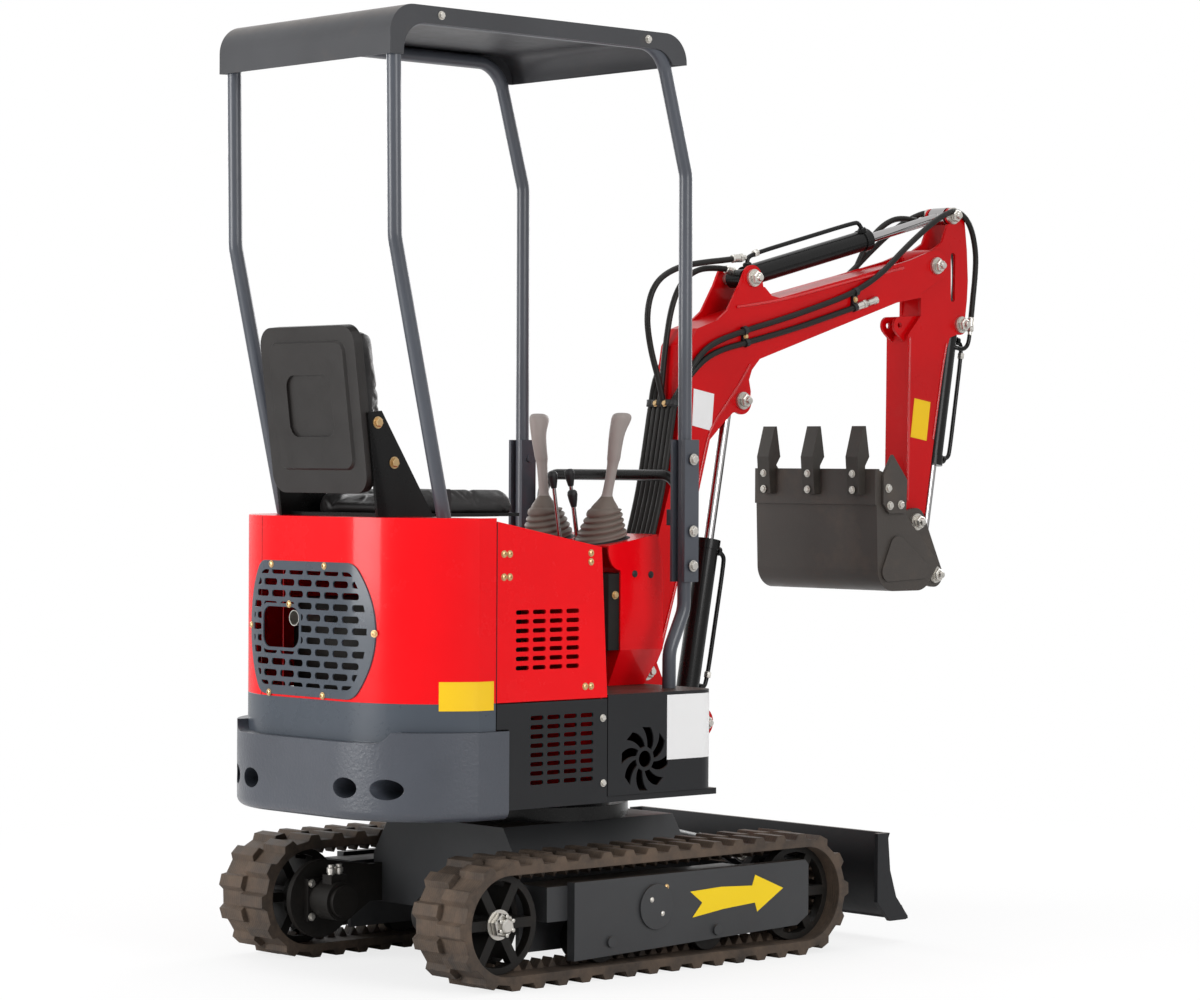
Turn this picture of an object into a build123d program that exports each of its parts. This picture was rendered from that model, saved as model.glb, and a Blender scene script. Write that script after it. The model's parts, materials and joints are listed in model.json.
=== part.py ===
from build123d import *
from math import cos, sin, pi, hypot, radians
import os

# Micro excavator on rubber tracks, millimetres, +X forward, +Y left, +Z up.
# Side-view coordinates are (x, z) with x measured from the slew axis, which
# stands at AXIS_X so that the origin is below the middle of the whole machine.
AXIS_X = -397.0

# Undercarriage
TRACK_OUTER = 465.0
TRACK_WIDTH = 178.0
WHEELBASE = 985.0
BELT_INNER_R = 118.0
BELT = 20.0
LUG = 14.0
LINKS = 38
TOOTH = 22.0
TOOTH_BASE = 0.34
HUB_Z = BELT_INNER_R + BELT + LUG
TRACK_Y = TRACK_OUTER - TRACK_WIDTH / 2
TRACK_INNER = TRACK_OUTER - TRACK_WIDTH
MOTOR_IN = 137.0
MOTOR_R = 48.0
DRIVE_R = 62.0
PLATE_IN = 42.0
DISC_R = 96.0
FLANGE_R = 74.0
GUIDE = 34.0
RIM = 46.0
HALF_BASE = WHEELBASE / 2
COVER_INSET = 13.0
COVER_OUT = TRACK_OUTER - COVER_INSET
COVER_PLATE = 26.0
COVER_X = (-280.0, HALF_BASE + 19.5)
COVER_CAP = (-16.0, 160.0, 55.0)
CAP_T = 6.0
BOLT_R = 13.0
BOLT_T = 7.0
WHEEL_GAP = 30.0
YOKE_HALF = 33.0
COVER_Z = (64.0, 237.0)
ROLLER_X = (-164.0, 189.0)
ROLLER_R = 52.7
ROLLER_PIN = 15.0
FRAME_TOP = 350.0
FRAME_X = (-300.0, 265.0)
FRAME_SLOPE = 72.0
FRAME_TOP_HALF = TRACK_INNER - FRAME_SLOPE
RING_R = 228.0
RING_BORE = 180.0
RUN = 0.1
FIT = 0.3

# Upper structure
DECK_Z = 415.0
DECK_T = 15.0
BODY_HALF = 410.0
SHEET = 5.0
BOX_X = (-137.0, 232.0)
FLOOR_Z = 674.0
PANEL_FRONT = -140.0
PANEL_TOP_FRONT = 1029.0
PANEL_SPLIT = -493.0
PANEL_GAP = 3.0
HOOD_TOP = 1100.0
HOOD_REAR = -735.0
HOOD_FLAT = 120.0
HOOD_CORNER = -545.0
SKIRT_TOP = 668.0
CW_FRONT = -456.0
CW_REAR = -765.0
CW_FLAT = 130.0
CW_CORNER = -550.0
CW_Z = (394.0, 602.0)
CW_PROUD = 6.0
CW_HALF = BODY_HALF + CW_PROUD
CW_WALL = 90.0
CW_ROUND = 22.0
CW_NOTCH = (254.0, 295.0, 26.0)
CW_HOLES = (180.0, 285.0)
CW_HOLE = (72.0, 48.0, 470.0)
GRILLE_Z = (673.0, 993.0)
GRILLE_R = 238.0
GRILLE_ROUND = 45.0
GRILLE_T = 4.0
GRILLE_RIM = 22.0
SLOT = (54.0, 16.0)
SLOT_PITCH = (67.0, 27.2)
EXHAUST = (22.0, 165.0, 786.0, 883.0)
EXHAUST_ROUND = 28.0
PIPE = (85.0, 855.0, 19.0, 2.0)
VENT = (41.0, 10.5)
VENT_PITCH = (53.0, 21.8)
PANEL_VENTS = (-332.0, 813.0, 4, 7)
SKIRT_VENTS = (-285.0, 552.0, 4, 8)
BOX_ROUND = 55.0
ENGINE_X = (-600.0, -250.0)
ENGINE_HALF = 220.0
ENGINE_TOP = 900.0
PIPE_BACK = 30.0
PANEL_LEAN = 20.0
FAN = (-15.0, 514.0, 20.0, 30.0, 78.0, 8)

# Roll-over frame and canopy
POST_INSET = 104.0
POST_Y = BODY_HALF - POST_INSET
TUBE_R = 17.0
CANOPY_HALF = POST_Y + 22
CANOPY_TOP = 2288.0
CANOPY_REAR = (-753.0, 2169.0)
CANOPY_FRONT = (191.0, 2214.0)
CANOPY_ROLL = 70.0
VALANCE = 41.0
RAIL_Z = 2262.0

# Digging arm pivots, (x, z)
FOOT = (300.0, 700.0)
BOOM_CYL_BASE = (505.0, 560.0)
BOOM_CYL_EYE = (662.0, 1395.0)
ARM_CYL_BASE = (700.0, 1718.0)
ELBOW = (1412.0, 1779.0)
ARM_CYL_EYE = (1491.0, 1921.0)
BUCKET_CYL_BASE = (1528.0, 1620.0)
TIP = (1332.0, 1073.0)
BUCKET_EYE = (1408.0, 927.0)

# Digging arm sections
BOOM_HALF = 53.0
PLATE = 8.0
DIPPER_HALF = 40.0
EAR_GAP = 5.0
PIN_R = 15.0
PIN_HEAD = 8.0
BUCKET_HALF = 225.0
BUCKET_EAR = (43.0, 57.0)
BUCKET_BEND = 60.0
WEAR = 6.0
THUMB_PIN = (1297.0, 1612.0)
THUMB_BORE = 8.0

# Cylinders: barrel radius, rod radius, barrel length, eye radius, eye half width
BOOM_CYL = (30.0, 14.0, 480.0, 26.0, 30.0)
ARM_CYL = (28.0, 13.0, 505.0, 24.0, 26.0)
BUCKET_CYL = (25.0, 12.0, 396.0, 22.0, 18.0)
BLADE_CYL = (24.0, 12.0, 255.0, 22.0, 18.0)
GLAND = 26.0
GLAND_RIM = 3.0

# Blade
BLADE_PIVOT = (340.0, 150.0)
BLADE_CYL_BASE = (330.0, 290.0)
BLADE_CYL_EYE = (690.0, 210.0)
BLADE_HALF = TRACK_OUTER
BLADE_TOP = 286.0
BLADE_BOTTOM = 59.0
ARM_INSET = 97.0
ARM_Y = TRACK_INNER - ARM_INSET

# Details
AXLE_R = 20.0
BEAM_BACK = -RIM - 4
RING_LOWER = 35.0
EAR_T = 16.0
CONSOLE_X = (55.0, 221.0)
CONSOLE_NECK = 963.0
CONSOLE_TOP = CONSOLE_NECK + 62
CONSOLE_RISE = 27.0
CONSOLE_WAIST = (96.0, 242.0)
CONSOLE_BEND = 765.0
CONSOLE_TOE = 23.0
CONSOLE_TUCK = 45.0
CONSOLE_HALF = 200.0
VALVE_X = (60.0, 150.0)
VALVE_Z = (690.0, 955.0)
BOOT_R = 60.0
BOOT_RINGS = 5
BOOT_HEIGHT = 105.0
GRIP_R = 17.0
STICK_X = 118.0
STICK_Y = 102.0
KNOB_R = 13.0
KNOB_ROUND = 6.0
STICK_TOP = (128.0, 152.0, 1350.0)
LEVERS = ((95.0, 25.0, 140.0), (130.0, 0.0, 140.0), (110.0, -25.0, 90.0))
SEAT_PAN = (-692.0, 1155.0)
SEAT_PAN_TOP = (-742.0, 1549.0)
SEAT_WIDTH = 360.0
PAN_T = 25.0
PRESS = 7.0
PAD_T = 60.0
CUSHION_X = (-600.0, -199.0)
CUSHION_Z = (1108.0, 1150.0)
POST_X = 213.0
POST_FOOT = 163.0
POST_BENDS = 90.0
HOOP_X = 242.0
HOOP_Z = 1200.0
HOOP_FOOT = 258.0
HOOP_R = 14.0
TOOTH_Y = 166.0

os.makedirs("parts", exist_ok=True)


def side(y=0.0):
    """Side-view plane at y, drawn in (x from the slew axis, z), normal to the right."""
    return Plane(origin=(AXIS_X, y, 0), x_dir=(1, 0, 0), z_dir=(0, -1, 0))


def level(z):
    """Plan-view plane at height z, drawn in (x from the slew axis, y)."""
    return Plane(origin=(AXIS_X, 0, z))


def across(x):
    """Front-view plane at x, drawn in (y, z), normal forward."""
    return Plane(origin=(AXIS_X + x, 0, 0), x_dir=(0, 1, 0), z_dir=(1, 0, 0))


def plate(points, y0, y1, mode=Mode.ADD):
    """Extrude a side-view outline from y0 to y1."""
    with BuildSketch(side(y1)) as profile:
        Polygon(*points, align=None)
    extrude(profile.sketch, amount=y1 - y0, mode=mode)


def bar(centre, r, y0, y1, mode=Mode.ADD):
    """Round bar or bore along Y."""
    with BuildSketch(side(y1)) as profile:
        with Locations(centre):
            Circle(r)
    extrude(profile.sketch, amount=y1 - y0, mode=mode)


def link(discs, y0, y1, mode=Mode.ADD):
    """Plate in the shape of a belt round the discs, each (x, z, radius)."""
    with BuildSketch(side(y1)) as profile:
        for x, z, r in discs:
            with Locations((x, z)):
                Circle(r)
        make_hull()
    extrude(profile.sketch, amount=y1 - y0, mode=mode)


def block(x, y, z, mode=Mode.ADD):
    """Rectangular block between the given pairs of limits."""
    with BuildSketch(level(z[0])) as profile:
        with Locations(((x[0] + x[1]) / 2, (y[0] + y[1]) / 2)):
            Rectangle(x[1] - x[0], y[1] - y[0])
    extrude(profile.sketch, amount=z[1] - z[0], mode=mode)


def pin(centre, y0, y1, r=PIN_R):
    """Steel pin with a flat head at both ends, its shank from y0 to y1."""
    bar(centre, r, y0, y1)
    bar(centre, r + 8, y0 - PIN_HEAD, y0)
    bar(centre, r + 8, y1, y1 + PIN_HEAD)


def stub(centre, near, far, r=PIN_R):
    """Short pin in each of two ears, near and far being distances from the middle."""
    for sign in (-1, 1):
        bar(centre, r, min(sign * near, sign * far), max(sign * near, sign * far))
        bar(centre, r + 8, min(sign * far, sign * (far + PIN_HEAD)), max(sign * far, sign * (far + PIN_HEAD)))


def polar(centre, r, degrees):
    """Point at radius r and angle from a centre, in a sketch's own axes."""
    return (centre[0] + r * cos(radians(degrees)), centre[1] + r * sin(radians(degrees)))


def tail(rear, flat, corner, half, front):
    """Plan outline of the rounded tail: a flat rear that curves to the bend where each side starts."""
    with BuildSketch(mode=Mode.PRIVATE) as plan:
        with BuildLine():
            Line((rear, flat), (rear, -flat))
            TangentArc((rear, -flat), (corner, -half), tangent=(0, -1))
            Polyline((corner, -half), (front, -half), (front, half), (corner, half))
            TangentArc((rear, flat), (corner, half), tangent=(0, 1))
        make_face()
    return plan.sketch


def shell(z0, z1):
    """Sheet-metal wall of the hood between two heights, open in front."""
    with BuildSketch(level(z0)) as plan:
        add(tail(HOOD_REAR, HOOD_FLAT, HOOD_CORNER, BODY_HALF, PANEL_SPLIT))
    with BuildSketch(level(z0)) as inside:
        add(tail(HOOD_REAR + SHEET, HOOD_FLAT, HOOD_CORNER + SHEET, BODY_HALF - SHEET, PANEL_SPLIT + SHEET))
    extrude(plan.sketch, amount=z1 - z0)
    extrude(inside.sketch, amount=z1 - z0, mode=Mode.SUBTRACT)


def spans(near, far):
    """The two mirrored spans of Y between distances near and far from the middle."""
    return ((-far, -near), (near, far))


def finish(name, builder):
    """Label a finished piece and write its STEP file."""
    builder.part.label = name
    export_step(builder.part, f"parts/{name}.step")


# Track geometry along the loop

PITCH_R = BELT_INNER_R + BELT * 0.6


def loop_point(s, height):
    """Point at arc length s on the pitch loop, height above the belt's inner face."""
    r = BELT_INNER_R + height
    arc = pi * PITCH_R
    total = 2 * (WHEELBASE + arc)
    s = s % total
    if s < WHEELBASE:
        return (-HALF_BASE + s, HUB_Z - r)
    s -= WHEELBASE
    if s < arc:
        a = s / PITCH_R - pi / 2
        return (HALF_BASE + r * cos(a), HUB_Z + r * sin(a))
    s -= arc
    if s < WHEELBASE:
        return (HALF_BASE - s, HUB_Z + r)
    a = (s - WHEELBASE) / PITCH_R + pi / 2
    return (-HALF_BASE + r * cos(a), HUB_Z + r * sin(a))


LOOP = 2 * (WHEELBASE + pi * PITCH_R)
PITCH = LOOP / LINKS


def lug_outline(shift):
    """Outer outline of the belt with one row of lugs, shifted along the loop."""
    points = []
    for k in range(LINKS):
        s = (k + shift) * PITCH
        points.append(loop_point(s, BELT))
        points.append(loop_point(s + PITCH * 0.10, BELT + LUG))
        points.append(loop_point(s + PITCH * 0.42, BELT + LUG))
        points.append(loop_point(s + PITCH * 0.54, BELT))
    return points


def tooth_outline():
    """Inner outline of the belt with two pointed drive teeth for each link."""
    points = []
    for k in range(2 * LINKS):
        s = k * PITCH / 2
        points.append(loop_point(s, 0))
        points.append(loop_point(s + PITCH * TOOTH_BASE / 2, -TOOTH))
        points.append(loop_point(s + PITCH * TOOTH_BASE, 0))
    return points


def make_track(sign):
    """Rubber track: belt with two staggered rows of lugs and inner drive teeth."""
    centre = sign * TRACK_Y
    half = TRACK_WIDTH / 2
    rows = ((0, centre - half, centre), (0.5, centre, centre + half))
    with BuildPart() as track:
        for shift, y0, y1 in rows:
            with BuildSketch(side(y1)) as row:
                Polygon(*lug_outline(shift), align=None)
                with Locations((0, HUB_Z)):
                    SlotCenterToCenter(WHEELBASE, 2 * BELT_INNER_R, mode=Mode.SUBTRACT)
            extrude(row.sketch, amount=y1 - y0)
        with BuildSketch(side(centre + GUIDE / 2)) as teeth:
            with Locations((0, HUB_Z)):
                SlotCenterToCenter(WHEELBASE, 2 * BELT_INNER_R + 2)
            Polygon(*tooth_outline(), align=None, mode=Mode.SUBTRACT)
        extrude(teeth.sketch, amount=GUIDE)
    return track


def make_wheel(centre, x, spokes):
    """Track wheel: two rims with a groove for the teeth, spokes and a hub."""
    with BuildSketch(side(centre + RIM)) as face:
        with Locations((x, HUB_Z)):
            Circle(BELT_INNER_R)
            Circle(BELT_INNER_R - 16, mode=Mode.SUBTRACT)
            Circle(34)
            with PolarLocations(0, spokes):
                with Locations((BELT_INNER_R / 2, 0)):
                    Rectangle(BELT_INNER_R - 20, 24)
            Circle(AXLE_R + RUN, mode=Mode.SUBTRACT)
    extrude(face.sketch, amount=2 * RIM)
    with BuildSketch(side(centre + GUIDE / 2 + 4)) as groove:
        with Locations((x, HUB_Z)):
            Circle(BELT_INNER_R + 1)
            Circle(BELT_INNER_R - TOOTH - 4, mode=Mode.SUBTRACT)
    extrude(groove.sketch, amount=GUIDE + 8, mode=Mode.SUBTRACT)


def make_undercarriage():
    """Centre frame, track frames, wheels, rollers, motors and the lower slew ring."""
    with BuildPart() as frame:
        with BuildSketch(across(FRAME_X[0])) as section:
            Polygon((-TRACK_INNER + 8, 250), (-TRACK_INNER + 8, 130), (TRACK_INNER - 8, 130),
                    (TRACK_INNER - 8, 250), (FRAME_TOP_HALF, FRAME_TOP),
                    (-FRAME_TOP_HALF, FRAME_TOP), align=None)
        extrude(section.sketch, amount=FRAME_X[1] - FRAME_X[0])
        for y in (-ARM_Y, ARM_Y):
            for y0 in (y - 34, y + 22):
                link([(FRAME_X[1] - 20, BLADE_PIVOT[1] + 30, 30), (*BLADE_PIVOT, 28)], y0, y0 + 12)
            bar(BLADE_PIVOT, PIN_R + RUN / 2, y - 40, y + 40, Mode.SUBTRACT)
        for y0 in (-36, 24):
            link([(FRAME_X[1] - 20, BLADE_CYL_BASE[1] - 10, 30), (*BLADE_CYL_BASE, 24)], y0, y0 + 12)
        bar(BLADE_CYL_BASE, PIN_R + RUN / 2, -40, 40, Mode.SUBTRACT)
    finish("centre_frame", frame)

    with BuildPart() as ring:
        with BuildSketch(level(FRAME_TOP)) as annulus:
            Circle(RING_R)
            Circle(RING_BORE, mode=Mode.SUBTRACT)
        extrude(annulus.sketch, amount=RING_LOWER)
    finish("slew_ring_lower", ring)

    with BuildPart() as frames:
        for sign in (-1, 1):
            out = sign * COVER_OUT
            inn = sign * (COVER_OUT - COVER_PLATE)
            back = sign * (TRACK_Y + BEAM_BACK)
            beam = HALF_BASE - BELT_INNER_R - WHEEL_GAP
            outline = [(COVER_X[0], COVER_Z[0] - 14), (COVER_X[0], COVER_Z[1]),
                       (COVER_X[1] - 12, COVER_Z[1]), (COVER_X[1], COVER_Z[1] - 12),
                       (COVER_X[1], COVER_Z[0] + 35), (COVER_X[1] - 40, COVER_Z[0] + 11)]
            plate(outline, min(out, inn), max(out, inn))
            cap = out + sign * CAP_T
            bar(COVER_CAP[:2], COVER_CAP[2], min(out, cap), max(out, cap))
            block((-beam, beam), (min(inn, back), max(inn, back)), (145, 228))
            frame_side = sign * (TRACK_INNER - 8)
            block((-200, 200), (min(frame_side, back), max(frame_side, back)), (150, 225))
            edge = back - sign * 12
            tip = HALF_BASE + AXLE_R
            yoke = [(-beam, 62), (-beam, 228), (beam, 228), (beam + 55, HUB_Z + YOKE_HALF), (tip, HUB_Z + YOKE_HALF),
                    (tip, HUB_Z - YOKE_HALF), (beam + 55, HUB_Z - YOKE_HALF), (beam, 62)]
            plate(yoke, min(edge, back), max(edge, back))
            bar((HALF_BASE, HUB_Z), AXLE_R, min(inn, back), max(inn, back))
            for x in ROLLER_X:
                middle = (x, HUB_Z - BELT_INNER_R + ROLLER_R + FIT)
                bar(middle, ROLLER_PIN, min(inn, back), max(inn, back))
                head = out + sign * BOLT_T
                bar(middle, BOLT_R, min(out, head), max(out, head))
    finish("track_frames", frames)

    for name, sign in (("track_right", -1), ("track_left", 1)):
        track = make_track(sign)
        finish(name, track)

    with BuildPart() as sprockets:
        for sign in (-1, 1):
            make_wheel(sign * TRACK_Y, -HALF_BASE, 6)
    finish("drive_wheels", sprockets)

    with BuildPart() as idlers:
        for sign in (-1, 1):
            make_wheel(sign * TRACK_Y, HALF_BASE, 6)
    finish("idler_wheels", idlers)

    with BuildPart() as rollers:
        for sign in (-1, 1):
            centre = sign * TRACK_Y
            for x in ROLLER_X:
                middle = (x, HUB_Z - BELT_INNER_R + ROLLER_R + FIT)
                for y0, y1 in ((centre - RIM, centre - GUIDE / 2 - 3), (centre + GUIDE / 2 + 3, centre + RIM)):
                    bar(middle, ROLLER_R, y0, y1)
                bar(middle, ROLLER_PIN + 8, centre - RIM, centre + RIM)
                bar(middle, ROLLER_PIN + RUN, centre - RIM, centre + RIM, Mode.SUBTRACT)
    finish("rollers", rollers)

    with BuildPart() as motors:
        hub = (-HALF_BASE, HUB_Z)
        for sign in (-1, 1):
            inner = TRACK_INNER - MOTOR_IN
            steps = ((AXLE_R, inner, TRACK_Y + RIM), (MOTOR_R, inner + 12, TRACK_INNER - PLATE_IN),
                     (MOTOR_R - 9, inner, inner + 12), (DRIVE_R, TRACK_INNER - PLATE_IN, TRACK_INNER + 36))
            for r, near, far in steps:
                bar(hub, r, min(sign * near, sign * far), max(sign * near, sign * far))
            y0, y1 = sorted((sign * (TRACK_INNER - PLATE_IN), sign * (TRACK_INNER - PLATE_IN + 16)))
            link([(*hub, DISC_R), (FRAME_X[0] - 55, 180, 48)], y0, y1)
            plate([(FRAME_X[0] - 60, 225), (FRAME_X[0], 228), (FRAME_X[0], 132), (FRAME_X[0] - 60, 135)], y0, y1)
            y0, y1 = sorted((sign * (TRACK_INNER - PLATE_IN), sign * (TRACK_INNER - PLATE_IN - 14)))
            plate([polar(hub, FLANGE_R, 45 + 90 * k) for k in range(4)], y0, y1)
            y0, y1 = sorted((sign * (inner + 25), sign * (inner + 60)))
            block((hub[0] - 24, hub[0] + 24), (y0, y1), (HUB_Z + MOTOR_R - 12, HUB_Z + MOTOR_R + 16))
    finish("travel_motors", motors)


def make_blade():
    """Dozer blade with its push arms."""
    with BuildPart() as blade:
        with BuildSketch(side(BLADE_HALF)) as profile:
            with BuildLine():
                ThreePointArc((797, BLADE_TOP), (784, 180), (862, BLADE_BOTTOM + 4))
                Line((862, BLADE_BOTTOM + 4), (848, BLADE_BOTTOM))
                ThreePointArc((848, BLADE_BOTTOM), (770, 172), (785, BLADE_TOP))
                Line((785, BLADE_TOP), (797, BLADE_TOP))
            make_face()
        extrude(profile.sketch, amount=2 * BLADE_HALF)
        plate([(842, BLADE_BOTTOM), (868, BLADE_BOTTOM + 2), (842, 98), (824, 88)], -BLADE_HALF, BLADE_HALF)
        end = [(752, BLADE_TOP), (790, BLADE_TOP), (799, 190), (822, 120), (867, 66),
               (860, BLADE_BOTTOM), (800, BLADE_BOTTOM), (752, 110)]
        for y0, y1 in spans(BLADE_HALF - 12, BLADE_HALF):
            plate(end, y0, y1)
        for y in (-ARM_Y, ARM_Y):
            link([(*BLADE_PIVOT, 26), (740, 150, 26)], y - 20, y + 20)
            block((700, 790), (y - 20, y + 20), (120, 200))
            bar(BLADE_PIVOT, PIN_R + RUN, y - 40, y + 40, Mode.SUBTRACT)
        for y0, y1 in spans(23, 35):
            link([(*BLADE_CYL_EYE, 24), (760, 190, 40)], y0, y1)
        bar(BLADE_CYL_EYE, PIN_R + RUN / 2, -50, 50, Mode.SUBTRACT)
        block((735, 780), (-210, 210), (130, 170))
    finish("blade", blade)


def fan_blade():
    """One swept opening of the fan guard, drawn about the fan's centre."""
    root, tip = FAN[3], FAN[4]
    middle = (root + tip) / 2
    with BuildSketch(mode=Mode.PRIVATE) as blade:
        with BuildLine():
            ThreePointArc(polar((0, 0), root, 0), polar((0, 0), middle, 13), polar((0, 0), tip, 32))
            Line(polar((0, 0), tip, 32), polar((0, 0), tip, 52))
            ThreePointArc(polar((0, 0), tip, 52), polar((0, 0), middle, 40), polar((0, 0), root, 30))
            Line(polar((0, 0), root, 30), polar((0, 0), root, 0))
        make_face()
    return blade.sketch


def make_deck():
    """Deck plate, front box with its floor, and the upper slew ring."""
    with BuildPart() as ring:
        with BuildSketch(level(FRAME_TOP + RUN * 3)) as annulus:
            Circle(RING_BORE - RUN)
            Circle(RING_BORE - 40, mode=Mode.SUBTRACT)
        extrude(annulus.sketch, amount=DECK_Z - FRAME_TOP - RUN * 3)
    finish("slew_ring_upper", ring)

    with BuildPart() as deck:
        with BuildSketch(level(DECK_Z)) as plan:
            with Locations(((CW_FRONT + BOX_X[1]) / 2, 0)):
                Rectangle(BOX_X[1] - CW_FRONT, 2 * (BODY_HALF - SHEET))
            inset = CW_WALL + FIT
            add(tail(CW_REAR + inset, CW_FLAT, CW_CORNER + inset / 2, CW_HALF - inset, CW_FRONT + 1))
        extrude(plan.sketch, amount=DECK_T)
    finish("deck_plate", deck)

    with BuildPart() as box:
        block(BOX_X, (-BODY_HALF, BODY_HALF), (DECK_Z + DECK_T, FLOOR_Z))
        fillet(box.edges().filter_by(Axis.Z).group_by(Axis.X)[-1], BOX_ROUND)
        with BuildSketch(level(DECK_Z + DECK_T - 1)) as inside:
            with Locations(((BOX_X[0] + BOX_X[1] - SHEET) / 2, 0)):
                Rectangle(BOX_X[1] - BOX_X[0] - SHEET, 2 * (BODY_HALF - SHEET))
            fillet(inside.vertices().group_by(Axis.X)[-1], BOX_ROUND - SHEET)
        extrude(inside.sketch, amount=FLOOR_Z - SHEET - DECK_Z - DECK_T + 1, mode=Mode.SUBTRACT)
        with BuildSketch(side(-BODY_HALF + SHEET + 1)) as fan:
            with Locations(FAN[:2]):
                Circle(FAN[2])
                with PolarLocations(0, FAN[5]):
                    add(fan_blade())
        extrude(fan.sketch, amount=SHEET + 2, mode=Mode.SUBTRACT)
    finish("front_box", box)

    with BuildPart() as bracket:
        for y0, y1 in spans(BOOM_HALF + EAR_GAP, BOOM_HALF + EAR_GAP + EAR_T):
            plate([(BOX_X[1], DECK_Z), (BOX_X[1] + 170, DECK_Z + 15), (BOOM_CYL_BASE[0] + 20, 528),
                   (BOOM_CYL_BASE[0] + 10, 590), (380, 640), (FOOT[0] + 36, FOOT[1] + 30), (FOOT[0] - 20, FOOT[1] + 42),
                   (BOX_X[1], 700)], y0, y1)
            link([(*BOOM_CYL_BASE, 38)], y0, y1)
            link([(*FOOT, 44)], y0, y1)
        bar(FOOT, PIN_R + RUN / 2, -90, 90, Mode.SUBTRACT)
        for y0, y1 in spans(BOOM_CYL[4] + 1, BOOM_HALF + EAR_GAP):
            bar(BOOM_CYL_BASE, 24, y0, y1)
        bar(BOOM_CYL_BASE, PIN_R + RUN / 2, -90, 90, Mode.SUBTRACT)
        block((BOX_X[1], BOX_X[1] + 14), (-120, 120), (DECK_Z, FLOOR_Z - 10))
        block((BOX_X[1], BOX_X[1] + 150), (-BOOM_HALF - EAR_GAP, BOOM_HALF + EAR_GAP), (DECK_Z, DECK_Z + 14))
    finish("boom_bracket", bracket)


def notch(near, top):
    """Outline in (y, z) of the dip in the counterweight's top edge, out to near on each side."""
    low, high, drop = CW_NOTCH
    shift = near - high
    with BuildSketch(mode=Mode.PRIVATE) as dip:
        with BuildLine():
            for sign in (-1, 1):
                Spline((sign * near, CW_Z[1]), (sign * (low + shift), CW_Z[1] - drop),
                       tangents=((-sign * 0.7, -1), (-sign, 0)))
            Line((-low - shift, CW_Z[1] - drop), (low + shift, CW_Z[1] - drop))
            Polyline((-near, CW_Z[1]), (-near, top), (near, top), (near, CW_Z[1]))
        make_face()
    return dip.sketch


def make_counterweight():
    """Cast counterweight with its dipped rim, rounded lower edge and oval holes."""
    with BuildPart() as weight:
        with BuildSketch(level(CW_Z[0])) as plan:
            add(tail(CW_REAR, CW_FLAT, CW_CORNER, CW_HALF, CW_FRONT))
        extrude(plan.sketch, amount=CW_Z[1] - CW_Z[0])
        fillet(weight.edges().group_by(Axis.Z)[0].sort_by(Axis.X)[:-1], CW_ROUND)
        with BuildSketch(level(CW_Z[0])) as inside:
            add(tail(CW_REAR + CW_WALL, CW_FLAT, CW_CORNER + CW_WALL / 2, CW_HALF - CW_WALL, CW_FRONT + CW_WALL))
        extrude(inside.sketch, amount=CW_Z[1] - CW_Z[0], mode=Mode.SUBTRACT)
        with BuildSketch(across(CW_REAR - 10)) as dip:
            add(notch(CW_NOTCH[1], CW_Z[1] + 10))
        extrude(dip.sketch, amount=CW_CORNER - CW_REAR, mode=Mode.SUBTRACT)
        width, height, z = CW_HOLE
        with BuildSketch(across(CW_REAR - 10)) as holes:
            for y in CW_HOLES:
                with Locations((y, z), (-y, z)):
                    Ellipse(width / 2, height / 2)
        extrude(holes.sketch, amount=CW_CORNER - CW_REAR, mode=Mode.SUBTRACT)
    finish("counterweight", weight)


def grille_face(rim):
    """Outline in (y, z) of the rear grille, drawn in by a rim."""
    middle = (GRILLE_Z[0] + GRILLE_Z[1]) / 2
    with BuildSketch(mode=Mode.PRIVATE) as face:
        with Locations((0, middle)):
            Circle(GRILLE_R - rim)
            Rectangle(2 * GRILLE_R, GRILLE_Z[1] - GRILLE_Z[0] - 2 * rim, mode=Mode.INTERSECT)
        fillet(face.vertices(), GRILLE_ROUND - rim)
    return face.sketch


def exhaust_face():
    """Outline in (y, z) of the square opening round the exhaust pipe."""
    y0, y1, z0, z1 = EXHAUST
    with BuildSketch(mode=Mode.PRIVATE) as face:
        with Locations(((y0 + y1) / 2, (z0 + z1) / 2)):
            RectangleRounded(y1 - y0, z1 - z0, EXHAUST_ROUND)
    return face.sketch


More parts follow.
